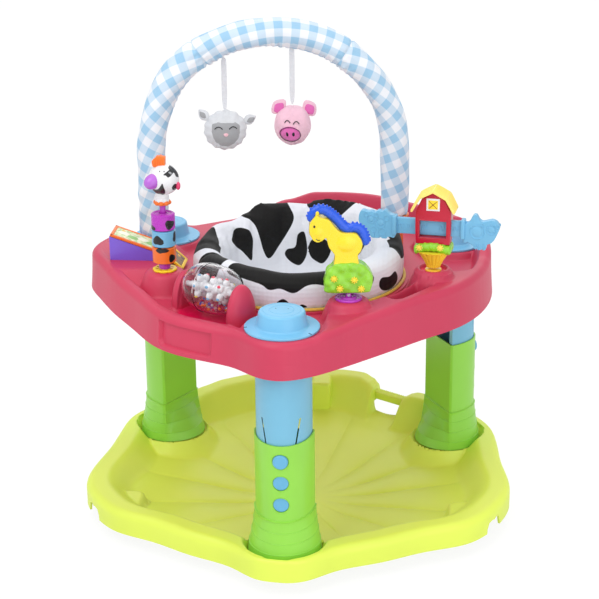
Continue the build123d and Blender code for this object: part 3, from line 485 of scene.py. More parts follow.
def place_corners(piece, corners):
    piece.data.vertices.foreach_set("co", (corners * MM).ravel())
    piece.data.update()
    return piece


def colour_property(label, description, red, green, blue):
    return bpy.props.FloatVectorProperty(name=label, description=description, subtype="COLOR", size=3,
                                         min=0, max=1, default=linear(red, green, blue))


def length_property(label, description, default):
    return bpy.props.FloatProperty(name=label, description=description + ", in millimetres", default=default)


class JumperColours(bpy.types.PropertyGroup):
    tray: colour_property("Tray", "Moulded tray", 198, 58, 88)
    # Painted shade: a deeper crimson that stands for the shade in the well under the barrel and in the hollow
    # under the barn's cone
    well: colour_property("Well", "Deep moulded well under the barrel", 228, 0, 76)
    base: colour_property("Base", "Blow moulded base", 222, 239, 88)
    outer_leg: colour_property("Outer leg", "Lower half of each post", 144, 212, 70)
    inner_leg: colour_property("Inner leg", "Upper half of each post", 116, 182, 212)
    button: colour_property("Button", "Height buttons", 98, 172, 212)
    cap: colour_property("Cap", "Caps over the posts", 118, 186, 224)
    foot: colour_property("Foot", "Folding feet under the base", 120, 122, 125)
    cloth: colour_property("Seat cloth", "White of the seat", 225, 227, 234)
    patch: colour_property("Patches", "Dark patches of the seat", 9, 8, 8)
    piping: colour_property("Piping", "Piping round the seat", 214, 178, 62)
    gingham: colour_property("Gingham", "Darker check of the sleeve", 146, 194, 226)
    gingham_white: colour_property("Gingham ground", "Ground of the sleeve", 236, 239, 245)
    orange: colour_property("Orange", "Orange plastic", 238, 114, 34)
    yellow: colour_property("Yellow", "Yellow plastic", 246, 216, 28)
    cream: colour_property("Cream", "Pale yellow roof", 252, 226, 122)
    blue: colour_property("Blue", "Pale blue plastic", 112, 178, 216)
    royal: colour_property("Royal blue", "Mane and tail", 6, 82, 214)
    green: colour_property("Green", "Leaf green plastic", 140, 206, 40)
    purple: colour_property("Purple", "Purple plastic", 182, 50, 188)
    red: colour_property("Red", "Barn red plastic", 188, 0, 46)
    white: colour_property("White", "White plastic", 230, 230, 233)
    black: colour_property("Black", "Black paint", 22, 22, 26)
    steel: colour_property("Steel", "Plated steel", 176, 178, 182)
    plush_white: colour_property("Plush white", "Fleece of the sheep", 214, 216, 220)
    plush_grey: colour_property("Plush grey", "Face of the sheep", 158, 159, 162)
    plush_pink: colour_property("Plush pink", "Fleece of the pig", 238, 190, 208)
    snout: colour_property("Snout", "Snout and ears of the pig", 222, 100, 176)
    tape: colour_property("Tape", "Tapes that hold the plush heads", 214, 215, 220)


def colours():
    return bpy.context.scene.jumper_colours


# ---------------------------------------------------------------- stage
class StageSettings(bpy.types.PropertyGroup):
    azimuth: bpy.props.FloatProperty(name="Azimuth", description="Camera's turn round the object, in degrees",
                                     default=5.58)
    elevation: bpy.props.FloatProperty(name="Elevation", description="Camera's height angle, in degrees",
                                       default=20.17)
    distance: length_property("Distance", "Camera to target", 2665.6)
    target: bpy.props.FloatVectorProperty(name="Target", description="Point that the camera looks at, in mm",
                                          size=3, default=(-1.0, -0.1, 342.3))
    lens: bpy.props.FloatProperty(name="Lens", description="Focal length, in millimetres", default=100.1)
    roll: bpy.props.FloatProperty(name="Roll", description="Camera roll, in degrees", default=-0.57)
    lamp_power: bpy.props.FloatProperty(name="Lamp power", description="Power of the main lamp, in watts",
                                        default=20.5)


class BuildStage(bpy.types.Operator):
    """Sets up the pale floor, the soft lamps and the camera"""
    bl_idname = "jumper.stage"
    bl_label = "Stage"

    def execute(self, context):
        settings = context.scene.jumper_stage
        self.place_camera(settings)
        for name, azimuth, elevation, size, share in (("lamp_key", -38, 48, 1.6, 0.75),
                                                      ("lamp_fill", 30, 16, 1.8, 0.55),
                                                      ("lamp_top", 0, 88, 2.2, 0.45),
                                                      ("lamp_back", 178, 40, 1.8, 0.45)):
            self.place_lamp(settings, name, azimuth, elevation, size, share)
        self.light_world(context)
        self.lay_floor()
        context.scene.view_settings.view_transform = "Standard"
        return {"FINISHED"}

    def place_camera(self, settings):
        target = Vector(settings.target) * MM
        camera = bpy.data.objects.new("camera", bpy.data.cameras.new("camera"))
        bpy.context.collection.objects.link(camera)
        camera.data.lens = settings.lens
        camera.data.clip_end = 50
        level = math.radians(settings.elevation)
        away = polar(math.cos(level), settings.azimuth, math.sin(level))
        camera.location = target + away * settings.distance * MM
        aim = away.to_track_quat("Z", "Y").to_matrix()
        camera.rotation_euler = (aim @ Matrix.Rotation(math.radians(settings.roll), 3, "Z")).to_euler()
        bpy.context.scene.camera = camera

    def place_lamp(self, settings, name, azimuth, elevation, size, share):
        target = Vector(settings.target) * MM
        lamp = bpy.data.objects.new(name, bpy.data.lights.new(name, "AREA"))
        bpy.context.collection.objects.link(lamp)
        lamp.data.size = size
        lamp.data.energy = settings.lamp_power * share
        level = math.radians(elevation)
        away = polar(math.cos(level), azimuth, math.sin(level))
        lamp.location = target + away * 2.2
        lamp.rotation_euler = away.to_track_quat("Z", "Y").to_euler()

    def seen(self, tree):
        """One where the camera looks, straight or through a clear shell, and zero for the light that falls."""
        path = node(tree, "ShaderNodeLightPath")
        return math_node(tree, "MAXIMUM", path.outputs["Is Camera Ray"], path.outputs["Is Transmission Ray"])

    def light_world(self, context):
        world = context.scene.world or bpy.data.worlds.new("World")
        context.scene.world = world
        world.use_nodes = True
        tree = world.node_tree
        background = tree.nodes["Background"]
        strength = ranged(tree, self.seen(tree), 0, 1, 0.78, 1.0)
        background.inputs["Color"].default_value = (1, 1, 1, 1)
        tree.links.new(strength, background.inputs["Strength"])

    def lay_floor(self):
        clear_selection()
        bpy.ops.mesh.primitive_plane_add(size=14)
        floor = bpy.context.object
        floor.name = "floor"
        material = bpy.data.materials.new("studio_floor")
        material.use_nodes = True
        tree = material.node_tree
        shader = tree.nodes["Principled BSDF"]
        shader.inputs["Base Color"].default_value = (0.9, 0.9, 0.9, 1)
        shader.inputs["Roughness"].default_value = 0.7
        glow = node(tree, "ShaderNodeEmission")
        mix = node(tree, "ShaderNodeMixShader")
        tree.links.new(math_node(tree, "MULTIPLY", self.seen(tree), 0.85), mix.inputs[0])
        glow.inputs["Strength"].default_value = 1.06
        tree.links.new(shader.outputs[0], mix.inputs[1])
        tree.links.new(glow.outputs[0], mix.inputs[2])
        tree.links.new(mix.outputs[0], tree.nodes["Material Output"].inputs["Surface"])
        floor.data.materials.append(material)


# ---------------------------------------------------------------- tray
class TraySettings(bpy.types.PropertyGroup):
    rim_slope_start: length_property("Rim slope start", "Where the rim starts to rise, from the edge", 36.0)
    rim_slope_end: length_property("Rim slope end", "Where the rim is full height, from the edge", 20.0)
    edge_round: length_property("Edge round", "Rounding between rim and skirt", 11.0)
    boss_top_radius: length_property("Boss top radius", "Flat top of each toy mound", 21.5)
    boss_foot_radius: length_property("Boss foot radius", "Foot of each toy mound", 45.0)
    ledge_height: length_property("Ledge height", "Height of the ledge under the picture book, above the floor",
                                  20.0)
    recess_depth: length_property("Recess depth", "Depth of the snack recess", 12.0)
    panel_depth: length_property("Panel depth", "Depth of the label panel in the skirt", 5.0)


POST_ANGLES = {"front": 0.0, "right": 120.0, "left": -120.0}
POST_CIRCLE = 273.0
CAP_SEAT = 399.0
UPRIGHT = Matrix(((1, 0, 0, 0), (0, 0, -1, 0), (0, 1, 0, 0), (0, 0, 0, 1)))
TRAY_CREST = [(-180, 424), (-171, 412), (-160, 397), (-152, 388.5), (-140, 388), (-128, 403), (-115, 408),
              (-90, 409), (-60, 404), (-30, 401), (-12, 400), (0, 401.5), (12, 404), (25, 410), (45, 412),
              (70, 412), (88, 412), (94, 414), (101, 421), (110, 424), (125, 422), (140, 421), (150, 423),
              (165, 425), (172, 425)]
RECESS = {"angle": 54.0, "radius": 223.0, "half_length": 50.0, "half_width": 15.0}
PANEL = {"start": -38.8, "end": -20.3, "bottom": 353.0, "top": 440.0}


def seat_centre():
    return middle("seat_ring").xy


def opening_radius():
    """Radius of the tray's opening, just outside the seat ring's hook."""
    return 170.0


def barrel_turn():
    """Turn of the rattle barrel's axle about Z, in radians."""
    axis = (high("barrel_core") - low("barrel_core")).xy
    return math.atan2(-abs(axis.y), abs(axis.x))


def rolled_edge(row, start, count, outer, top, round_off, radius, height):
    """Gives the rows from start on a quarter turn, from the top at outer down to the skirt."""
    turn = np.clip((row - start + 1) / count, 0, 1) * math.pi / 2
    rounding = (row >= start) & (row < start + count)
    radius = np.where(rounding, outer + round_off * np.sin(turn), radius)
    return radius, np.where(rounding, top - round_off * (1 - np.cos(turn)), height)


def turned_points(radius, theta, height, centre=Vector((0, 0))):
    """Points round a centre; theta is zero at the front and grows to the right."""
    return np.stack([centre.x + radius * np.sin(theta), centre.y - radius * np.cos(theta), height], axis=1)


def rounded_box(across, along, half_across, half_along, corner):
    """Signed distance to a rounded rectangle, negative inside."""
    a = np.abs(across) - half_across + corner
    b = np.abs(along) - half_along + corner
    return np.hypot(np.maximum(a, 0), np.maximum(b, 0)) + np.minimum(np.maximum(a, b), 0) - corner


class BuildTray(bpy.types.Operator):
    """Moulds the tray: rolled rim, toy mounds, barrel arms, snack recess and skirt"""
    bl_idname = "jumper.tray"
    bl_label = "Tray"

    TOP_ROWS = 92
    ROUND_ROWS = 7
    SKIRT_ROWS = 24
    FLOOR = 388.0
    WALL = 3.0
    ARM_PLACE = 54.5

    def execute(self, context):
        self.settings = context.scene.jumper_tray
        self.outline = outline_radius("tray", low("tray").z + 2)
        self.bottom = low("tray").z
        rows = self.TOP_ROWS + self.ROUND_ROWS + self.SKIRT_ROWS + 8
        shell = spun_rows("tray_shell", rows, 720, self.place)
        smooth(shell, 50)
        arms = self.barrel_arms()
        tray = join("tray_shell", [shell, *arms])
        colour = colours()
        material, tree, tint = surface("tray_pink", colour.tray, 0.42, variation=0.05, patch=7, grain=700,
                                       grain_depth=0.06, Specular_IOR_Level=0.35)
        # Painted shade: the well colour is blended in where the barrel's well sinks from 398 mm to 388 mm, and in
        # the hollow under the barn's cone
        field = node(tree, "ShaderNodeAttribute")
        field.attribute_name = "well"
        deep = blended(tree, field.outputs["Fac"], tint, colour.well)
        tree.links.new(deep, tree.nodes["Principled BSDF"].inputs["Base Color"])
        corners = corners_of(tray)
        along, across = self.barrel_place(corners[:, 0], corners[:, 1])
        pot = middle("barn_pot")
        cone_hollow_shade = eased(np.hypot(corners[:, 0] - pot.x, corners[:, 1] - pot.y), 21.0, 19.0)
        inside = eased(rounded_box(across, along, 30, 49, 8), 3, -2)
        give_field(tray, "well", np.maximum(inside * eased(corners[:, 2], 398, 388), cone_hollow_shade))
        keep(tray, "tray", material, "tray_pink", ["tray"])
        return {"FINISHED"}

    def barrel_place(self, x, y):
        """Position along the barrel's axis and across it, from its centre."""
        centre = middle("barrel_core")
        axis = (high("barrel_core") - low("barrel_core")).xy
        axis = Vector((abs(axis.x), -abs(axis.y))).normalized()
        along = (x - centre.x) * axis.x + (y - centre.y) * axis.y
        across = -(x - centre.x) * axis.y + (y - centre.y) * axis.x
        return along, across

    def crest(self, theta):
        return around(TRAY_CREST, theta)

    def top_height(self, x, y):
        """Height of the moulded top at points in the plane."""
        s = self.settings
        radius = np.hypot(x, y)
        theta = np.arctan2(x, -y)
        edge = self.outline(theta) - radius
        degrees = np.degrees(theta)
        shelf = eased(degrees, 9, 18) * eased(degrees, 84, 72)
        slope_start = s.rim_slope_start + 62 * shelf
        slope_end = s.rim_slope_end + 62 * shelf
        rise = eased(edge, slope_start, slope_end)
        height = self.FLOOR + (self.crest(theta) - self.FLOOR) * rise
        seat = np.hypot(x - seat_centre().x, y - seat_centre().y) - opening_radius()
        height = self.FLOOR + (height - self.FLOOR) * eased(seat, 3, 16 + 22 * shelf)
        ledge = eased(x, -188, -214) * eased(y, -118, -52) * eased(y, 96, 70)
        height = np.maximum(height, self.FLOOR + self.settings.ledge_height * ledge)
        for name in ("spinner_star", "horse_base", "barn_pot"):
            height = smooth_max(height, self.mound(middle(name), x, y, seat), 3)
        pot = middle("barn_pot")
        away = np.hypot(x - pot.x, y - pot.y)
        top = low("barn_pot").z
        height = np.where(away < 30, np.maximum(height, top + 5 * eased(away, 29, 24)), height)
        height = height - (height - top) * eased(away, 21.5, 19.0)
        recess = rounded_box(*self.recess_place(x, y), RECESS["half_width"], RECESS["half_length"], 13)
        sunk = eased(recess, 1.5, -6.5) * eased(away, 33, 41)
        height = height - (height - self.FLOOR + s.recess_depth) * sunk
        along, across = self.barrel_place(x, y)
        well = eased(rounded_box(across, along, 33, 53, 12), 5, -7)
        height = height * (1 - well) + (self.FLOOR - 5) * well
        flare = eased(rounded_box(across, np.abs(along) - self.ARM_PLACE, 27, 6.5, 6), 9, 0)
        height = np.maximum(height, height + 7 * flare ** 2 * (seat > 4))
        for angle in POST_ANGLES.values():
            foot = polar(POST_CIRCLE, angle)
            away = np.hypot(x - foot.x, y - foot.y)
            share = eased(away, 66, 57.5)
            height = height * (1 - share) + CAP_SEAT * share
        return height

    def recess_place(self, x, y):
        centre = polar(RECESS["radius"], RECESS["angle"])
        turn = math.radians(RECESS["angle"])
        outwards = (x - centre.x) * math.sin(turn) - (y - centre.y) * math.cos(turn)
        sideways = (x - centre.x) * math.cos(turn) + (y - centre.y) * math.sin(turn)
        return outwards, sideways

    def mound(self, centre, x, y, seat):
        s = self.settings
        away = np.hypot(x - centre.x, y - centre.y)
        flat = s.boss_top_radius
        shoulder = np.clip((away - flat) / 11, 0, 1)
        top = low("spinner_star").z
        dome = top - 6.5 * shoulder ** 2
        dome = self.FLOOR - 2 + (dome - self.FLOOR + 2) * eased(away, s.boss_foot_radius, flat + 8)
        return np.where(seat > 0, self.FLOOR - 2 + (dome - self.FLOOR + 2) * eased(seat, 2, 12), self.FLOOR - 2)

    def place(self, row, theta):
        theta = theta + 1e-9
        edge = self.outline(theta)
        seat = seat_centre()
        forward = -np.cos(theta) * seat.y
        opening = forward + np.sqrt(opening_radius() ** 2 - seat.y ** 2 + forward ** 2)
        round_off = self.settings.edge_round
        inner = opening + 2.5
        outer = edge - round_off - 3.5
        share = np.clip((row - 2) / (self.TOP_ROWS - 3), 0, 1)
        radius = inner + (outer - inner) * share
        x, y = radius * np.sin(theta), -radius * np.cos(theta)
        height = self.top_height(x, y)
        radius = np.where(row == 0, opening, np.where(row == 1, opening + 0.6, radius))
        height = np.where(row == 0, self.FLOOR - 8, np.where(row == 1, self.FLOOR - 1.2, height))
        top = self.top_height(outer * np.sin(theta), -outer * np.cos(theta))
        radius, height = rolled_edge(row, self.TOP_ROWS, self.ROUND_ROWS, outer, top, round_off, radius, height)
        start = self.TOP_ROWS + self.ROUND_ROWS
        down = (row - start + 1) / self.SKIRT_ROWS
        skirt = (row >= start) & (row < start + self.SKIRT_ROWS)
        skirt_height = top - round_off + (self.bottom - top + round_off) * down
        pressed = self.skirt_relief(theta, skirt_height)
        skirt_radius = outer + round_off + 3.5 * np.clip(down, 0, 1) ** 1.5 - pressed
        radius = np.where(skirt, skirt_radius, radius)
        height = np.where(skirt, skirt_height, height)
        start += self.SKIRT_ROWS
        under = row - start
        inside_edge = edge - self.WALL - 2.5
        under_rows = [(inside_edge, self.bottom), (inside_edge - 3, self.FLOOR - 8),
                      (inside_edge - 8, self.FLOOR - 5), (inside_edge * 0.66 + opening * 0.34, self.FLOOR - 6),
                      (inside_edge * 0.33 + opening * 0.67, self.FLOOR - 6), (opening + 6, self.FLOOR - 6),
                      (opening + 4, self.FLOOR - 8), (opening, self.FLOOR - 8)]
        for k, (r, z) in enumerate(under_rows):
            radius = np.where(under == k, r, radius)
            height = np.where(under == k, z, height)
        return turned_points(radius, theta, height)

    def skirt_relief(self, theta, height):
        """How far the skirt is pressed in: the label panel and the faint seam lines."""
        degrees = np.degrees(theta)
        radius = 300.0
        centre = (PANEL["start"] + PANEL["end"]) / 2
        across = np.radians(degrees - centre) * radius
        half = math.radians(PANEL["end"] - PANEL["start"]) / 2 * radius
        middle_height = (PANEL["bottom"] + PANEL["top"]) / 2
        panel = rounded_box(across, height - middle_height, half, PANEL["top"] - middle_height, 9)
        pressed = self.settings.panel_depth * eased(panel, 0.4, -1.6)
        lip = -1.1 * np.exp(-((panel - 2.6) / 1.5) ** 2)
        outline = rounded_box(np.radians(degrees) * radius, height - self.bottom, 17, 22, 3)
        mark = 0.5 * np.exp(-(outline / 0.7) ** 2)
        seams = sum(0.4 * np.exp(-(np.radians(degrees - place) * radius / 1.2) ** 2)
                    for place in (6.5, 18.0, 24.0))
        return pressed + lip + mark + seams

    def barrel_arms(self):
        """Two rounded arms that hold the barrel's axle."""
        centre = middle("barrel_core")
        arms = []
        foot, reach = self.FLOOR - 8, Vector((17.0, 29.0, 66.0))
        for side in (-1, 1):
            arm = ellipsoid(f"arm_{side}", (0, 0, 0), (1, 1, 1), 96)
            corners = corners_of(arm)
            tall = np.abs(corners[:, 2]) ** 0.8 * np.sign(corners[:, 2])
            corners = np.stack([corners[:, 0] * side * reach.x, corners[:, 1] * reach.y, tall * reach.z], axis=1)
            ridge = 1.4 * eased(np.hypot(corners[:, 1] / (reach.y - 6), corners[:, 2] / (reach.z - 9)), 1.0, 0.9)
            corners[:, 0] = np.maximum(corners[:, 0], -5.0 - ridge) * side
            corners[:, 2] = np.maximum(corners[:, 2], 0) + foot
            place_corners(arm, corners)
            if side < 0:
                tidy_mesh(arm, 0.001)
            turned = Matrix.Translation((centre.x, centre.y, 0)) @ Matrix.Rotation(barrel_turn(), 4, "Z")
            move(arm, turned @ Matrix.Translation((self.ARM_PLACE * side, 0, 0)))
            smooth(arm, 60)
            arms.append(arm)
        return arms


# ---------------------------------------------------------------- base
class BaseSettings(bpy.types.PropertyGroup):
    rim_slope: length_property("Rim slope", "How far in from the edge the rim's inner slope starts", 76.0)
    rim_flat: length_property("Rim flat", "How far in from the edge the rim is full height", 30.0)
    edge_round: length_property("Edge round", "Rounding of the outer edge", 13.0)
    rib_height: length_property("Rib height", "Height of the fan's lobes", 5.0)
    rib_count: bpy.props.IntProperty(name="Rib count", description="Lobes of the fan in the dish", default=15)


BASE_CREST = [(-180, 79), (-160, 79), (-150, 77), (-143, 73), (-134, 66), (-125, 62), (-30, 62), (-8, 60), (8, 60),
              (30, 62), (125, 62), (133, 71), (139, 79), (143, 80), (145.5, 76), (147, 34), (158, 34), (159.6, 74),
              (161.5, 81), (165, 86), (171, 85)]
BAR_ENDS = [(101, 293, 59), (183, 239, 59)]


class BuildBase(bpy.types.Operator):
    """Moulds the base dish with its fan of ribs, collars, carrying bar and notches"""
    bl_idname = "jumper.base"
    bl_label = "Base"

    TOP_ROWS = 84
    ROUND_ROWS = 8
    SKIRT_ROWS = 8
    UNDER_ROWS = 30
    WALL = 3.0
    FOOT_RADIUS = 274.4
    SKIRT_BOTTOM = 24.0
    COLLAR_TOP = 47.0
    COLLAR_RADIUS = 61.0
    POCKET_RADIUS = 57.8
    POCKET_FLOOR = 43.0

    def execute(self, context):
        self.settings = context.scene.jumper_base
        cast = outline_radius("base_dish", 52)
        self.outline = lambda theta: cast(theta) + 5 * np.exp(-((np.degrees(theta) + 70) / 9) ** 2)
        rows = self.TOP_ROWS + self.ROUND_ROWS + self.SKIRT_ROWS + self.UNDER_ROWS
        dish = spun_rows("base_shell", rows, 600, self.place)
        for cutter in self.cutters():
            cut(dish, cutter)
        smooth(dish, 45)
        material = plastic("base_lime", colours().base, 0.42, variation=0.04, patch=5, grain=500, grain_depth=0.08)
        bar = self.bar_ribs()
        housing = self.housing()
        base = join("base_shell", [dish, *bar, housing])
        keep(base, "base", material, "base_lime", ["base_dish"])
        return {"FINISHED"}

    def top_height(self, x, y):
        s = self.settings
        radius = np.hypot(x, y)
        theta = np.arctan2(x, -y)
        edge = self.outline(theta) - radius
        bowl = 3 + 17 * eased(radius, 70, 235) + 16 * np.clip((radius - 190) / 110, 0, 1) ** 2
        centre = (8.0, -22.0)
        fan = np.arctan2(x - centre[0], -(y - centre[1]))
        reach = np.hypot(x - centre[0], y - centre[1])
        lobe = np.abs(np.sin(fan * s.rib_count / 2)) ** 0.55
        bowl = bowl + s.rib_height * (lobe - 0.6) * eased(reach, 14, 150) * eased(edge, 55, 95)
        rise = eased(edge, s.rim_slope, s.rim_flat)
        height = bowl + (around(BASE_CREST, theta) - bowl) * rise
        height = height - 1.5 * eased(edge, 12, 0)
        for angle in POST_ANGLES.values():
            foot = polar(self.FOOT_RADIUS, angle)
            away = np.hypot(x - foot.x, y - foot.y)
            collar = self.COLLAR_TOP - 34 * np.clip((away - self.COLLAR_RADIUS) / 24, 0, 1) ** 0.8
            collar = np.where(away > 84, -20, collar)
            behind = eased(radius, 262, 300)
            wall = eased(away, 59, 64)
            inner = self.COLLAR_TOP * (1 - wall) + height * wall
            height = np.where(away < 90, height * (1 - behind) + behind * inner, height)
            height = np.where(away < 88, smooth_max(height, collar, 5), height)
            height = np.where((away < self.POCKET_RADIUS) & (edge > 14.5), self.POCKET_FLOOR, height)
        for side in ("back", "left", "right"):
            foot_low, foot_high = low(f"stabiliser_foot_{side}"), high(f"stabiliser_foot_{side}")
            centre, half = (foot_low + foot_high) / 2, (foot_high - foot_low) / 2
            cover = rounded_box(x - centre.x, y - centre.y, half.x + 4, half.y + 4, 12)
            height = np.where(edge > 5, smooth_max(height, (foot_high.z + 4.2) * eased(cover, 16, 0), 3), height)
        return height

    def place(self, row, theta):
        theta = theta + 1e-9
        edge = self.outline(theta)
        round_off = self.settings.edge_round
        for angle in POST_ANGLES.values():
            turned = (np.degrees(theta) - angle + 180) % 360 - 180
            round_off = round_off - 7.5 * np.exp(-(turned / 10) ** 4)
        outer = edge - round_off
        share = np.clip(row / (self.TOP_ROWS - 1), 0, 1)
        share = 0.35 * share + 0.65 * share ** 0.75
        radius = outer * share
        height = self.top_height(radius * np.sin(theta), -radius * np.cos(theta))
        top = self.top_height(outer * np.sin(theta), -outer * np.cos(theta))
        radius, height = rolled_edge(row, self.TOP_ROWS, self.ROUND_ROWS, outer, top, round_off, radius, height)
        start = self.TOP_ROWS + self.ROUND_ROWS
        down = (row - start + 1) / self.SKIRT_ROWS
        skirt = (row >= start) & (row < start + self.SKIRT_ROWS)
        radius = np.where(skirt, edge, radius)
        height = np.where(skirt, top - round_off + (self.SKIRT_BOTTOM - top + round_off) * down, height)
        start += self.SKIRT_ROWS
        back = (row - start) / (self.UNDER_ROWS - 1)
        under = row >= start
        inside_edge = edge - self.WALL
        shrunk = np.maximum(inside_edge - 6, 0) * (1 - (back - 0.06) / 0.94)
        under_radius = np.where(back < 0.06, inside_edge, shrunk)
        under_height = self.top_height(under_radius * np.sin(theta), -under_radius * np.cos(theta)) - self.WALL
        under_height = np.where(back < 0.03, self.SKIRT_BOTTOM, under_height)
        under_height = np.where((back >= 0.03) & (back < 0.06), top - round_off - 2, under_height)
        radius = np.where(under, under_radius, radius)
        height = np.where(under, np.maximum(under_height, 0), height)
        return turned_points(radius, theta, height)

    def cutters(self):
        """The hand hole and the two finger notches."""
        hole = rounded([(90, 299), (105, 274), (129, 253), (150, 249), (164, 256), (176, 262), (190, 300),
                        (120, 345), (98, 318)])
        yield prism("hand_hole_cutter", hole, -20, 50, bevel=0)
        for angle in (64.0, -64.0):
            side = math.copysign(1, angle)
            middle_point = polar(345.0, angle)
            hook = [(-20, -5), (20 + 4, -5), (20, 6), (17, 16), (8, 19), (2, 16), (-3, 18), (-14, 17), (-19, 8)]
            hook = [(x * side, z) for x, z in hook]
            place = Matrix.Translation((middle_point.x, middle_point.y, self.SKIRT_BOTTOM)) \
                @ Matrix.Rotation(math.radians(angle), 4, "Z") @ UPRIGHT
            yield prism("notch_cutter", hook, -30, 30, bevel=0, matrix=place)

    def bar_ribs(self):
        """The carrying bar across the bay, with finger ribs on its top."""
        start, end = Vector(BAR_ENDS[0]), Vector(BAR_ENDS[1])
        length = (end - start).length
        parts = [block("bar", (0, -8.5, -8), (length, 8.5, 7), bevel=3.5, segments=4)]
        for k in range(19):
            x = 12 + k * (length - 24) / 18
            parts.append(tube(f"rib_{k}", [(x, -5.5, 6.8), (x, 0, 7.3), (x, 6.5, 6.8)], 0.9, 6, samples=3))
        turn = Matrix.Rotation(math.atan2(end.y - start.y, end.x - start.x), 4, "Z")
        return [move(part, Matrix.Translation(start) @ turn) for part in parts]

    def housing(self):
        """Upright housing moulded inside the back of the dish."""
        return block("housing", (-8, 272, 22), (27, 330, 81), bevel=6, segments=4)


# ---------------------------------------------------------------- posts
class PostSettings(bpy.types.PropertyGroup):
    half_width: length_property("Half width", "Half width of a post", 45.0)
    depth: length_property("Depth", "Flat inner face to round outer face", 67.2)
    chord_radius: length_property("Chord radius", "Flat inner face, from the middle of the object", 254.6)
    leg_top: length_property("Leg top", "Top edge of the green leg", 233.3)
    flare_radius: length_property("Flare radius", "Radius of the round foot", 57.0)


HOLE_HEIGHTS = (209.0, 174.0, 139.0)


def post_section(half_width, depth, count=48):
    """Closed outline of a post: flat inner face at zero, half an oval towards +X."""
    points = []
    corner = 3.0
    for k in range(count + 1):
        a = -math.pi / 2 + math.pi * k / count
        points.append((depth * math.cos(a), half_width * math.sin(a)))
    points[0] = (corner, -half_width + 0.2)
    points[-1] = (corner, half_width - 0.2)
    points += [(0.0, y) for y in np.linspace(half_width - corner, corner - half_width, 21)]
    return points


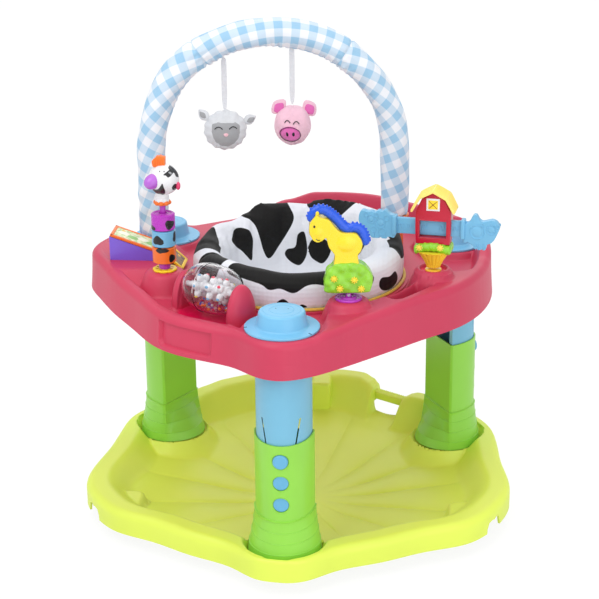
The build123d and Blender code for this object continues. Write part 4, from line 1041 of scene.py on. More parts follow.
class BuildPosts(bpy.types.Operator):
    """Lofts the three posts: green feet, buttons, blue inner legs and caps"""
    bl_idname = "jumper.posts"
    bl_label = "Posts"

    def execute(self, context):
        self.settings = context.scene.jumper_posts
        colour = colours()
        green = plastic("leg_green", colour.outer_leg, 0.34, variation=0.04, grain=800)
        blue = plastic("leg_blue", colour.inner_leg, 0.38, variation=0.03, grain=800)
        blue_button = plastic("button_blue", colour.button, 0.3, variation=0.03)
        leg = self.outer_leg()
        for side, angle in POST_ANGLES.items():
            turn = Matrix.Rotation(math.radians(angle - 90), 4, "Z")
            keep(copy_of(leg, f"leg_outer_{side}", turn), "base", green, "leg_green", [f"outer_leg_{side}"])
            inner = frame["nodes"][f"inner_leg_{side}"]
            assign(inner, blue)
            self.button(side, angle, blue_button)
            self.cap(side, angle, plastic(f"cap_blue_{side}", colour.cap, 0.36, variation=0.03))
        bpy.data.objects.remove(leg)
        return {"FINISHED"}

    def outer_leg(self):
        """The green leg at the right, facing +X: hollow, with three holes and ring lines on its foot."""
        s = self.settings
        section = post_section(s.half_width, s.depth)
        count = len(section)
        levels = []
        foot_middle = 19.8
        circle = [Vector((s.flare_radius * math.cos(t), s.flare_radius * math.sin(t)))
                  for t in [math.atan2(y, x - foot_middle) for x, y in section]]
        foot_bottom, flare_top, leg_top = 46.0, 110.0, s.leg_top
        steps = [foot_bottom, 48, 59.4, 60, 60.6, 76.4, 77, 77.6, 93.4, 94, 94.6, 100, 106, 110.2, 111.4, 112.6,
                 120, 130, 150, 190, 231, leg_top]
        ring_lines = (60, 77, 94, 111.4)
        for z in steps:
            share = 1 - eased(z, foot_bottom - 14, flare_top + 4) if z < flare_top + 4 else 0
            swell = 0.8 if z in ring_lines else 0.0
            ring = []
            for (x, y), (cx, cy) in zip(section, circle):
                body = Vector((s.chord_radius + x, y))
                foot = Vector((s.chord_radius + foot_middle + cx, cy))
                point = body.lerp(foot, share)
                middle_point = Vector((s.chord_radius + foot_middle, 0))
                out = (point - middle_point).normalized()
                grow = swell + (1.6 if z < 112 else 0.0) * (1 - share)
                ring.append((*(point + out * grow), z))
            levels.append(ring)
        inner = []
        for x, y in post_section(s.half_width - 2.6, s.depth - 5.2):
            inner.append((s.chord_radius + 2.6 + x, y, leg_top))
        levels.append(inner)
        levels.append([(x, y, 60.0) for x, y, z in inner])
        vertices = [p for ring in levels for p in ring]
        faces = [(a * count + k, a * count + (k + 1) % count, (a + 1) * count + (k + 1) % count,
                  (a + 1) * count + k)
                 for a in range(len(levels) - 1) for k in range(count)]
        faces.append(tuple(range(count))[::-1])
        faces.append(tuple((len(levels) - 1) * count + k for k in range(count)))
        mesh = bpy.data.meshes.new("leg")
        mesh.from_pydata([tuple(c * MM for c in p) for p in vertices], [], faces)
        leg = tidy_mesh(link("leg", mesh))
        for z in HOLE_HEIGHTS:
            cutter = self.cylinder("hole_cutter", 11.75, z, 290, 345)
            cut(leg, cutter)
        rims = [self.hole_rim(z) for z in HOLE_HEIGHTS]
        leg = join("leg", [leg, *rims])
        return smooth(leg, 38)

    def cylinder(self, name, radius, height, start, end):
        clear_selection()
        bpy.ops.mesh.primitive_cylinder_add(vertices=48, radius=radius * MM, depth=(end - start) * MM)
        piece = bpy.context.object
        piece.name = name
        turn = Matrix.Rotation(math.radians(90), 4, "Y")
        return move(piece, Matrix.Translation(((start + end) / 2, 0, height)) @ turn)

    def surface_x(self, y):
        s = self.settings
        return s.chord_radius + s.depth * math.sqrt(max(0.0, 1 - (y / s.half_width) ** 2))

    def hole_rim(self, height):
        """A fine raised bead round a button hole."""
        points = []
        radius = 12.4
        for k in range(24):
            a = 2 * math.pi * k / 24
            y = radius * math.cos(a)
            points.append((self.surface_x(y) - 0.1, y, height + radius * math.sin(a)))
        return tube("hole_rim", points, 0.7, 6, closed=True, samples=3)

    def button(self, side, angle, material):
        """Top button stands proud; the two lower ones lie flush in their holes."""
        turn = Matrix.Rotation(math.radians(angle - 90), 4, "Z")
        proud = -low("height_button_front").y
        standing = Matrix.Rotation(math.radians(90), 4, "Y")
        top = lathe("button", [(0, 0), (11.3, 0), (11.3, 14.5), (10.2, 16.2), (8.4, 17.0), (0, 17.4)],
                    rounding=1.2, steps=64)
        move(top, turn @ Matrix.Translation((proud - 17.4, 0, HOLE_HEIGHTS[0])) @ standing)
        keep(top, f"button_{side}", material, "button_blue", [f"height_button_{side}"])
        for k, height in enumerate(HOLE_HEIGHTS[1:]):
            flush = lathe(f"plug_{side}_{k}", [(0, 0), (11.4, 0), (11.4, 6.5), (10.4, 7.2), (0, 7.2)],
                          rounding=0.6, steps=64)
            move(flush, turn @ Matrix.Translation((self.surface_x(0) - 8.6, 0, height)) @ standing)
            keep(flush, "base", material, "button_blue")

    def cap(self, side, angle, material):
        """A hat: brim with two slits drawn as dark tubes of painted shade, crown with fine rings and two small
        dark pin marks.
        """
        centre = polar(POST_CIRCLE, angle)
        brim, crown = 54.8, 37.0
        bottom = CAP_SEAT + 0.2
        profile = [(0, bottom), (brim, bottom), (brim, bottom + 3.3), (crown + 2.6, bottom + 4.4),
                   (crown, bottom + 6.2), (crown - 3.2, 424.2), (crown - 5.0, 426.1), (28.2, 426.5), (27.6, 426.1),
                   (27.0, 426.1), (26.4, 426.6), (18.6, 426.9), (18.0, 426.4), (17.4, 426.4), (16.8, 427.0),
                   (0, 427.2)]
        cap = lathe(f"cap_{side}", profile, centre, steps=128, rounding=0.7)
        smooth(cap, 35)
        keep(cap, "tray", material, "leg_blue", [f"post_cap_{side}"])
        dark = plastic("pin_dark", (0.02, 0.03, 0.05), 0.6) if "pin_dark" not in bpy.data.materials \
            else bpy.data.materials["pin_dark"]
        marks = []
        for k, spread in enumerate((-9, 9)):
            marks.append(ellipsoid(f"mark_{k}", centre + Vector((spread, 4, 427.2)), (0.8, 0.8, 0.25), 12))
        # The slits are not cut: each is a dark tube laid on the brim as painted shade
        for turn in (-78, 55):
            start = centre + polar(50.5, turn, bottom + 3.6)
            end = centre + polar(55.0, turn, bottom + 3.2)
            marks.append(tube(f"slit_{turn}", [start, (start + end) / 2, end], 0.7, 6, samples=3))
        keep(join(f"cap_marks_{side}", marks), "tray", dark, "steel_pin")


def assign(obj, material):
    """Gives a carried CAD node a finish in every slot."""
    for slot in obj.material_slots:
        slot.material = material


# ---------------------------------------------------------------- seat
class SeatSettings(bpy.types.PropertyGroup):
    front_crest: length_property("Front crest", "Top of the front roll", 446.0)
    back_crest: length_property("Back crest", "Top of the backrest", 472.0)
    roll_radius: length_property("Roll radius", "Outside of the padded roll", 165.0)
    voxel: length_property("Voxel", "Remesh size of the padding", 5.0)
    pressure: bpy.props.FloatProperty(name="Pressure", description="Air pressure of the padding", default=4.0)
    cap: length_property("Swell cap", "Most that the padding may swell", 6.0)


def smooth_loop(points, per=6):
    """A closed rounded line through the points."""
    points = np.array(points, float)
    result = []
    for k in range(len(points)):
        a, b, c, d = (points[(k + j) % len(points)] for j in (-1, 0, 1, 2))
        for j in range(per):
            t = j / per
            result.append(0.5 * (2 * b + (c - a) * t + (2 * a - 5 * b + 4 * c - d) * t ** 2
                                 + (3 * b - a - 3 * c + d) * t ** 3))
    return np.array(result)


def rounded(points, per=4):
    """The rounded line as plain corners, ready for a prism."""
    return [tuple(p) for p in smooth_loop(points, per)]


def inside_depth(x, y, outline, scale=1.0):
    """How deep points lie inside a rounded outline, negative outside; scale stretches x."""
    loop = smooth_loop(outline) * (scale, 1)
    x = x * scale
    nearest = np.full(len(x), 1e9)
    odd = np.zeros(len(x), bool)
    for (ax, ay), (bx, by) in zip(loop, np.roll(loop, -1, axis=0)):
        dx, dy = bx - ax, by - ay
        t = np.clip(((x - ax) * dx + (y - ay) * dy) / (dx * dx + dy * dy + 1e-12), 0, 1)
        nearest = np.minimum(nearest, np.hypot(x - ax - t * dx, y - ay - t * dy))
        crosses = ((ay > y) != (by > y)) & (x < (bx - ax) * (y - ay) / (by - ay + 1e-12) + ax)
        odd ^= crosses
    return np.where(odd, nearest, -nearest)


# patches as (degrees from the front, reach): reach is the height up the outside and on over the roll
ROLL_PATCHES = [
    [(-35, 440), (-36, 452), (-30, 463), (-9, 455), (9, 456), (24, 452), (38, 452), (47, 436), (49, 423),
     (43, 409), (27, 417), (18, 430), (10, 431), (3, 420), (-4, 426), (-10, 423), (-16, 431)],
    [(-7, 396), (-5, 407), (-2, 410), (1, 402), (2, 394)],
    [(5, 396), (7, 402), (10, 397)],
    [(53, 411), (55, 422), (62, 419), (69, 421), (73, 404), (66, 396), (57, 400)],
    [(-66, 440), (-64, 412), (-54, 408), (-44, 426), (-43, 448), (-49, 470), (-58, 480), (-65, 466)],
    [(-76, 441), (-86, 424), (-104, 430), (-112, 444), (-105, 462), (-95, 474), (-83, 478), (-72, 482)],
    [(118, 452), (104, 436), (90, 428), (80, 432), (79, 448), (90, 462), (104, 472), (116, 476)],
    [(50, 488), (58, 496), (70, 502), (78, 494), (70, 484), (66, 475), (57, 476)],
    [(168, 430), (150, 448), (138, 440), (142, 418), (160, 410)],
    [(-176, 440), (-160, 452), (-148, 436), (-154, 414), (-170, 416)],
    [(-132, 404), (-126, 424), (-136, 436), (-146, 420)],
    [(128, 400), (124, 416), (112, 418), (112, 402)],
]
# patches on the inside of the backrest as (degrees from the front, height)
BACK_PATCHES = [
    [(-119, 416), (-123, 430), (-129, 438), (-137, 428), (-139, 404), (-136, 374), (-129, 392)],
    [(-137, 455), (-140, 446), (-143, 432), (-145, 404), (-150, 372), (-159, 388), (-166, 410), (-171, 436),
     (-170, 454), (-163, 476), (-149, 478)],
    [(-164, 374), (-166, 384), (-172, 388), (-174, 408), (-179, 411), (-181, 378), (-176, 358), (-169, 362)],
    [(-182, 386), (-186, 402), (-196, 402), (-200, 384), (-194, 362), (-185, 368)],
    [(-180, 462), (-181, 480), (-214, 482), (-212, 470), (-203, 442), (-194, 440), (-187, 452)],
    [(-214, 376), (-219, 392), (-224, 408), (-231, 418), (-233, 408), (-226, 390), (-219, 372)],
    [(-100, 372), (-108, 388), (-118, 372), (-110, 350)],
    [(-150, 330), (-170, 342), (-190, 326), (-172, 306)],
    [(-238, 360), (-246, 380), (-256, 366), (-246, 346)],
]


class BuildSeat(bpy.types.Operator):
    """Pads the seat by simulation, marks its patches and lays the piping"""
    bl_idname = "jumper.seat"
    bl_label = "Seat"

    def execute(self, context):
        self.settings = context.scene.jumper_seat
        centre = seat_centre()
        seat = spun_rows("seat_padding", len(self.profile(np.zeros(1))), 144, self.place)
        for side in (-1, 1):
            clear_selection()
            bpy.ops.mesh.primitive_cylinder_add(vertices=64, radius=39 * MM, depth=60 * MM)
            hole = move(bpy.context.object, Matrix.Translation((56 * side, -45, 272)))
            cut(seat, hole)
        apply_modifier(seat, "REMESH", mode="VOXEL", voxel_size=self.settings.voxel * MM)
        apply_modifier(seat, "SMOOTH", factor=0.5, iterations=4)
        self.fold(seat)
        self.swell(seat)
        self.seam(seat)
        apply_modifier(seat, "SUBSURF", levels=1, render_levels=1)
        corners = corners_of(seat)
        self.mark(seat, corners)
        colour = colours()
        cloth = marked("cow_cloth", colour.cloth, colour.patch, "patch", 0.62, edge=0.3, variation=0.015, patch=20,
                       bump=weave(950), grain_depth=0.35, Sheen_Weight=0.03, Sheen_Roughness=0.5,
                       Specular_IOR_Level=0.25)
        smooth(seat, 70)
        keep(seat, "seat", cloth, "cow_cloth", ["seat_fabric"])
        self.piping(centre)
        assign(frame["nodes"]["seat_ring"], plastic("ring_pink", colour.tray, 0.4, variation=0.03))
        return {"FINISHED"}

    def crest(self, theta):
        """Height of the roll's crest round the seat."""
        s = self.settings
        back = around([(-180, 462), (-163, 464), (-150, 467), (-141, 455), (-130, 447), (-116, 449), (-100, 444),
                       (-70, 446), (-40, 450), (-25, 448), (0, 444), (20, 445), (40, 450), (70, 450), (95, 454),
                       (120, 465), (132, 469), (150, 472), (168, 472), (176, 469)], theta)
        return back + (s.front_crest - 446) * (np.cos(theta) > 0) + (s.back_crest - 468) * (np.cos(theta) <= 0)

    def profile(self, theta):
        """The padding's section from the bottom outside, over the roll, to the bottom inside."""
        crest = self.crest(theta)
        back = eased(np.abs(np.degrees(theta)), 80, 135)
        outer = self.settings.roll_radius

        def between(front_value, back_value):
            return front_value + (back_value - front_value) * back

        flat = np.zeros_like(theta)
        return [
            (flat, flat + 260), (flat + 40, flat + 260), (flat + 68, flat + 261), (flat + 82, flat + 269),
            (flat + 104, flat + 289), (flat + 124, flat + 305), (flat + 139, flat + 319), (flat + 149, flat + 337),
            (flat + 155, flat + 353), (flat + 157, flat + 372), (flat + 157.5, flat + 386),
            (flat + outer - 5, flat + 393.5),
            (flat + outer - 0.5, flat + 394.5), (flat + outer, flat + 402), (flat + outer + 0.3, flat + 415),
            (flat + outer - 0.5, crest * 0.4 + 425 * 0.6),
            (flat + outer - 4, crest - 9), (flat + between(outer - 10, outer - 7), crest - 3),
            (flat + between(outer - 19, outer - 12), crest),
            (flat + between(134, 149), crest - 2.5), (flat + between(124, 143), crest - 11),
            (flat + between(118, 138), crest - 24), (flat + between(115, 132), crest - 42),
            (flat + between(113, 127), crest - 62), (flat + between(110, 120), flat + 368),
            (flat + 107, flat + 345), (flat + 100, flat + 318), (flat + 88, flat + 296), (flat + 70, flat + 281),
            (flat + 40, flat + 275), (flat, flat + 275),
        ]

    def place(self, row, theta):
        sections = self.profile(theta)
        radius = np.zeros(len(theta))
        height = np.zeros(len(theta))
        for k, (r, z) in enumerate(sections):
            radius = np.where(row == k, r, radius)
            height = np.where(row == k, z, height)
        return turned_points(radius, theta, height, seat_centre())

    def about_centre(self, corners):
        centre = seat_centre()
        x, y = corners[:, 0] - centre.x, corners[:, 1] - centre.y
        return np.hypot(x, y), np.arctan2(x, -y)

    def spread(self, corners, share):
        """Moves corners out from the seat's middle, or in, by a share of their distance."""
        centre = seat_centre()
        corners[:, 0] = centre.x + (corners[:, 0] - centre.x) * share
        corners[:, 1] = centre.y + (corners[:, 1] - centre.y) * share

    def fold(self, seat):
        """Soft upright folds inside the backrest and along the roll's inner crease."""
        corners = corners_of(seat)
        radius, theta = self.about_centre(corners)
        height = corners[:, 2]
        crest = self.crest(theta)
        inside = eased(radius, 150, 138) * eased(height, 320, 390)
        wave = np.sin(theta * 17 + 1.3 * np.sin(theta * 5 + height / 60)) + 0.6 * np.sin(theta * 29 + height / 45)
        depth = 1.6 * wave * inside * eased(crest - height, 2, 26)
        dents = 1.1 * np.sin(theta * 9 + 0.7) * np.sin(height / 13 + theta * 4) * eased(height, 398, 420)
        new_radius = radius + depth + dents
        self.spread(corners, new_radius / np.maximum(radius, 1))
        place_corners(seat, corners)

    def swell(self, seat):
        """Cloth pressure fills the roll; the tub below the tray's opening is held."""
        before = corners_of(seat)
        held = seat.vertex_groups.new(name="held")
        for k, weight in enumerate(eased(before[:, 2], 404, 390)):
            if weight > 0:
                held.add([k], float(weight), "REPLACE")
        cloth = seat.modifiers.new("cloth", "CLOTH")
        cloth.settings.quality = 4
        cloth.settings.mass = 0.2
        cloth.settings.use_pressure = True
        cloth.settings.uniform_pressure_force = self.settings.pressure
        cloth.settings.tension_stiffness = 12
        cloth.settings.compression_stiffness = 12
        cloth.settings.bending_stiffness = 0.4
        cloth.settings.vertex_group_mass = "held"
        cloth.settings.effector_weights.gravity = 0
        cloth.collision_settings.use_collision = False
        cloth.point_cache.frame_start = 1
        cloth.point_cache.frame_end = 20
        scene = bpy.context.scene
        for number in range(1, 21):
            scene.frame_set(number)
        activate(seat)
        bpy.ops.object.modifier_apply(modifier="cloth")
        scene.frame_set(1)
        after = corners_of(seat)
        step = after - before
        length = np.linalg.norm(step, axis=1, keepdims=True)
        cap = self.settings.cap
        place_corners(seat, before + step * np.minimum(1, cap / np.maximum(length, 1e-6)))

    def seam(self, seat):
        """Seams pressed in where the side bolsters meet the front roll, and above the piping."""
        corners = corners_of(seat)
        radius, theta = self.about_centre(corners)
        degrees = np.degrees(theta)
        height = corners[:, 2]
        depth = np.zeros(len(theta))
        for place in (-69.0, 76.0):
            path = place + 5 * np.sin((height - 400) / 30) - (157 - radius) * 0.05 * np.sign(place)
            across = np.radians(degrees - path) * radius
            depth += 2.6 * np.exp(-(across / 2.6) ** 2) * eased(height, 398, 410) * (radius > 110)
        crest = self.crest(theta)
        self.spread(corners, 1 - depth * eased(crest - height, 0, 8) / np.maximum(radius, 1))
        corners[:, 2] = height - depth * eased(height, crest - 14, crest - 2)
        place_corners(seat, corners)

    def mark(self, seat, corners):
        radius, theta = self.about_centre(corners)
        degrees = np.degrees(theta)
        height = corners[:, 2]
        crest = self.crest(theta)
        back = eased(np.abs(degrees), 80, 135)
        ridge = 146 + 7 * back
        over = np.maximum(0, ridge - radius)
        reach = np.where(radius >= ridge, height, crest + over + np.maximum(0, crest - 3 - height) * 0.9)
        per_degree = math.radians(1) * 152
        field = np.full(len(theta), -50.0)
        outside = (radius > 148) | (np.abs(degrees) < 122)
        for patch in ROLL_PATCHES:
            field = np.maximum(field, np.where(outside, inside_depth(degrees, reach, patch, per_degree), -50))
        turned = np.where(degrees > 0, degrees - 360, degrees)
        for patch in BACK_PATCHES:
            depth = inside_depth(turned, height - 9 * eased(crest - height, 4, 50), patch, per_degree)
            field = np.maximum(field, np.where(radius <= 157, depth, -50))
        give_field(seat, "patch", field)

    def piping(self, centre):
        """A corded piping round the foot of the roll."""
        radius = (high("seat_piping").x - low("seat_piping").x) / 2 - 2.2
        height = middle("seat_piping").z
        points = [(centre.x + radius * math.sin(t), centre.y - radius * math.cos(t), height)
                  for t in np.linspace(0, 2 * math.pi, 48, endpoint=False)]
        cord = tube("piping", points, 2.6, 8, closed=True, samples=8)
        material = surface("piping_yellow", colours().piping, 0.6, variation=0.08, patch=60, bump=weave(1400),
                           grain_depth=0.5, Sheen_Weight=0.2)[0]
        keep(cord, "seat", material, "piping_yellow", ["seat_piping"])


def weave(threads):
    """A plain weave height made of two crossed waves; threads are per metre."""
    def height(tree):
        return crossed_waves(tree, coordinates(tree), ("X", "Z"), threads / 20)
    return height


def crossed_waves(tree, place, axes, scale):
    """The sum of two wave textures, one along each axis."""
    waves = []
    for axis in axes:
        wave = node(tree, "ShaderNodeTexWave", Scale=scale)
        wave.bands_direction = axis
        tree.links.new(place, wave.inputs["Vector"])
        waves.append(wave.outputs["Fac"])
    return math_node(tree, "ADD", waves[0], waves[1])


# ---------------------------------------------------------------- arch
class ArchSettings(bpy.types.PropertyGroup):
    sleeve_radius: length_property("Sleeve radius", "Mean radius of the padded sleeve", 23.0)
    check: length_property("Check", "Side of one check of the gingham", 13.2)
    seam_angle: bpy.props.FloatProperty(name="Seam angle", description="Seams either side of the top, in degrees",
                                        default=35.0)


class BuildArch(bpy.types.Operator):
    """Sews the padded gingham sleeve over the arch"""
    bl_idname = "jumper.arch"
    bl_label = "Arch"

    ROWS = 420
    AROUND = 80

    def execute(self, context):
        self.settings = context.scene.jumper_arch
        left, right = middle("arch_socket_left").xy, middle("arch_socket_right").xy
        self.left = left
        self.direction = (right - left).normalized()
        self.half = (right - left).length / 2
        self.across = Vector((-self.direction.y, self.direction.x))
        self.spring = 557.0
        self.hems = (high("arch_socket_left").z + 0.8, high("arch_socket_right").z + 0.8)
        self.lengths = (self.spring - self.hems[0], math.pi * self.half, self.spring - self.hems[1])
        sleeve = spun_rows("arch_padding", self.ROWS, self.AROUND, self.place)
        self.unwrap(sleeve)
        keep(sleeve, "tray", self.gingham(), "gingham", ["arch_sleeve"])
        smooth(sleeve, 75)
        colour = colours()
        orange = plastic("arch_orange", colour.orange, 0.35)
        for side in ("left", "right"):
            assign(frame["nodes"][f"arch_socket_{side}"], orange)
        steel = surface("arch_steel", colour.steel, 0.3, Metallic=1.0)[0]
        assign(frame["nodes"]["arch_tube"], steel)
        return {"FINISHED"}

    def spine(self, along):
        """Points and outward directions of the arch's centre line."""
        leg, arc, _ = self.lengths
        angle = np.clip((along - leg) / self.half, 0, math.pi)
        x = self.half - self.half * np.cos(angle)
        z = self.spring + self.half * np.sin(angle)
        z = np.where(along < leg, self.spring - (leg - along), z)
        z = np.where(along > leg + arc, self.spring - (along - leg - arc), z)
        return x, z, -np.cos(angle), np.sin(angle), angle

    def place(self, row, theta):
        total = sum(self.lengths)
        ends = 3
        along = np.clip((row - ends) / (self.ROWS - 1 - 2 * ends), 0, 1) * total
        x, z, out_x, out_z, angle = self.spine(along)
        radius = self.settings.sleeve_radius + self.wrinkle(along, theta, angle, total)
        fold = np.where(row < ends, row, np.where(row > self.ROWS - 1 - ends, self.ROWS - 1 - row, ends))
        radius = np.where(fold == 0, 15.4, np.where(fold == 1, 17.5, np.where(fold == 2, radius - 1.8, radius)))
        lift = np.where(fold == 0, 2.0, np.where(fold == 1, -0.4, np.where(fold == 2, -0.2, 0)))
        z = z + lift
        lean = 7.5 * np.exp(-((np.degrees(angle) - 46) / 24) ** 2)
        outwards, sideways = radius * np.cos(theta) + lean, radius * np.sin(theta)
        px = x + out_x * outwards
        pz = z + out_z * outwards
        start = self.left
        wx = start.x + self.direction.x * px + self.across.x * sideways
        wy = start.y + self.direction.y * px + self.across.y * sideways
        return np.stack([wx, wy, pz], axis=1)

    def wrinkle(self, along, theta, angle, total):
        """Uneven padding, small gathers on the inside of the bend, at the seams and at the hems."""
        slow = 0.8 * np.sin(along / 37 + 2 * np.sin(theta)) + 0.6 * np.sin(along / 21 + 3 * theta + 1)
        slow += 0.5 * np.sin(along / 11 - 2 * theta + 0.5) * np.sin(along / 83)
        inner = eased(-np.cos(theta), -0.1, 0.9) * eased(np.sin(angle), 0.2, 0.7)
        gather = 1.0 * inner * np.sin(along / 1.9 + 1.5 * np.sin(theta * 2 + along / 30))
        gather = gather * (0.6 + 0.4 * np.sin(along / 17))
        top = self.lengths[0] + self.lengths[1] / 2
        seam = math.radians(self.settings.seam_angle) * self.half
        pinch = 0
        for place in (top - seam, top + seam):
            away = np.abs(along - place)
            pinch = pinch - 2.6 * np.exp(-(away / 2.2) ** 2)
            pinch = pinch + 0.9 * np.exp(-away / 14) * np.sin(theta * 13 + np.sign(along - place)) * (away > 1)
        hem = np.minimum(along, total - along)
        pinch = pinch + 1.0 * np.exp(-hem / 22) * np.sin(theta * 10 + along / 9)
        pinch = pinch - 3.0 * np.exp(-hem / 5)
        crumple = np.exp(-((along - 55) / 38) ** 2) * 0.9 * np.sin(along / 5.5 + 2.2 * np.sin(theta + 0.4))
        return slow + gather + pinch + crumple

    def unwrap(self, sleeve):
        """Writes the cloth's own flat map: around and along, in millimetres, turned on the bias in the legs."""
        corners = corners_of(sleeve)
        start = self.left
        x = (corners[:, 0] - start.x) * self.direction.x + (corners[:, 1] - start.y) * self.direction.y
        side = (corners[:, 0] - start.x) * self.across.x + (corners[:, 1] - start.y) * self.across.y
        z = corners[:, 2]
        leg, arc, _ = self.lengths
        angle = np.clip(np.arctan2(z - self.spring, self.half - x), 0, math.pi)
        below = z < self.spring
        left_side = x < self.half
        angle = np.where(below, np.where(left_side, 0, math.pi), angle)
        along = leg + angle * self.half
        along = np.where(below & left_side, leg - (self.spring - z), along)
        along = np.where(below & ~left_side, leg + arc + (self.spring - z), along)
        outward = np.where(below, np.where(left_side, -x, x - 2 * self.half),
                           np.hypot(x - self.half, z - self.spring) - self.half)
        theta = np.arctan2(side, outward)
        layer = sleeve.data.uv_layers.new(name="cloth")
        loops = np.empty(len(sleeve.data.loops), int)
        sleeve.data.loops.foreach_get("vertex_index", loops)
        turn = theta[loops].reshape(-1, 4) if len(loops) % 4 == 0 else None
        around_values = theta[loops]
        if turn is not None:
            wrapped = (turn.max(1) - turn.min(1)) > math.pi
            turn = np.where(wrapped[:, None] & (turn < 0), turn + 2 * math.pi, turn)
            around_values = turn.ravel()
        u = around_values * self.settings.sleeve_radius
        v = along[loops]
        face_along = v.reshape(-1, 4).mean(1).repeat(4) if len(loops) % 4 == 0 else v
        top = leg + arc / 2
        seam = math.radians(self.settings.seam_angle) * self.half
        bias = np.where(np.abs(face_along - top) < seam, math.radians(3),
                        math.radians(24) * np.sign(face_along - top))
        flat = np.stack([u * np.cos(bias) - (v - top) * np.sin(bias),
                         u * np.sin(bias) + (v - top) * np.cos(bias)], axis=1)
        layer.data.foreach_set("uv", (flat / (2 * self.settings.check)).ravel().astype(np.float32))

    def gingham(self):
        """Two crossed half-tone stripes on the cloth's own map."""
        colour = colours()
        material, tree, _ = surface("gingham", colour.gingham_white, 0.75, variation=0.02, patch=30,
                                    bump=self.thread,
                                    grain_depth=0.35, Sheen_Weight=0.2)
        split = node(tree, "ShaderNodeSeparateXYZ")
        tree.links.new(self.cloth_map(tree), split.inputs[0])
        stripes = []
        for axis in (0, 1):
            wave = math_node(tree, "SINE", math_node(tree, "MULTIPLY", split.outputs[axis], 2 * math.pi))
            stripes.append(ranged(tree, wave, -0.09, 0.09, 0, 1))
        total = math_node(tree, "MULTIPLY", math_node(tree, "ADD", stripes[0], stripes[1]), 0.5)
        fuzz = noise(tree, 1500, 2.0)
        total = math_node(tree, "MULTIPLY", total, ranged(tree, fuzz, 0.2, 0.8, 0.86, 1.0))
        light = colour.gingham_white
        both = blended(tree, total, light, colour.gingham)
        tree.links.new(both, tree.nodes["Principled BSDF"].inputs["Base Color"])
        return material

    def cloth_map(self, tree):
        """The cloth's own flat map, as a texture's place."""
        cloth = node(tree, "ShaderNodeUVMap")
        cloth.uv_map = "cloth"
        return cloth.outputs[0]

    def thread(self, tree):
        return crossed_waves(tree, self.cloth_map(tree), ("X", "Y"), 9.0)


# ---------------------------------------------------------------- plush heads
class PlushSettings(bpy.types.PropertyGroup):
    sheep_half: bpy.props.FloatVectorProperty(name="Sheep", description="Half sizes of the sheep's head, in mm",
                                              size=3, default=(33, 22, 31))
    pig_half: bpy.props.FloatVectorProperty(name="Pig", description="Half sizes of the pig's head, in mm",
                                            size=3, default=(29.5, 25, 33))
    tape_width: length_property("Tape width", "Width of the hanging tapes", 8.5)


def facing(centre, turn=0.0):
    """A frame whose X runs to the right and Z up, facing the front, turned about Z by degrees."""
    return Matrix.Translation(Vector(centre)) @ Matrix.Rotation(math.radians(turn), 4, "Z")


def on_face(half, x, z, lift=0.0):
    """The point of an ellipsoid's front at x and z, lifted off it."""
    depth = math.sqrt(max(0.02, 1 - (x / half[0]) ** 2 - (z / half[2]) ** 2))
    return Vector((x, -half[1] * depth - lift, z))


def stuffed(name, half, dents, segments=96):
    """A stuffed ball whose surface is moved outwards by dents(x, y, z), unit direction in, millimetres out."""
    ball = ellipsoid(name, (0, 0, 0), half, segments)
    corners = corners_of(ball)
    unit = corners / np.array(half)
    unit = unit / np.linalg.norm(unit, axis=1, keepdims=True)
    corners = corners + unit * dents(unit[:, 0], unit[:, 1], unit[:, 2])[:, None]
    return place_corners(ball, corners)


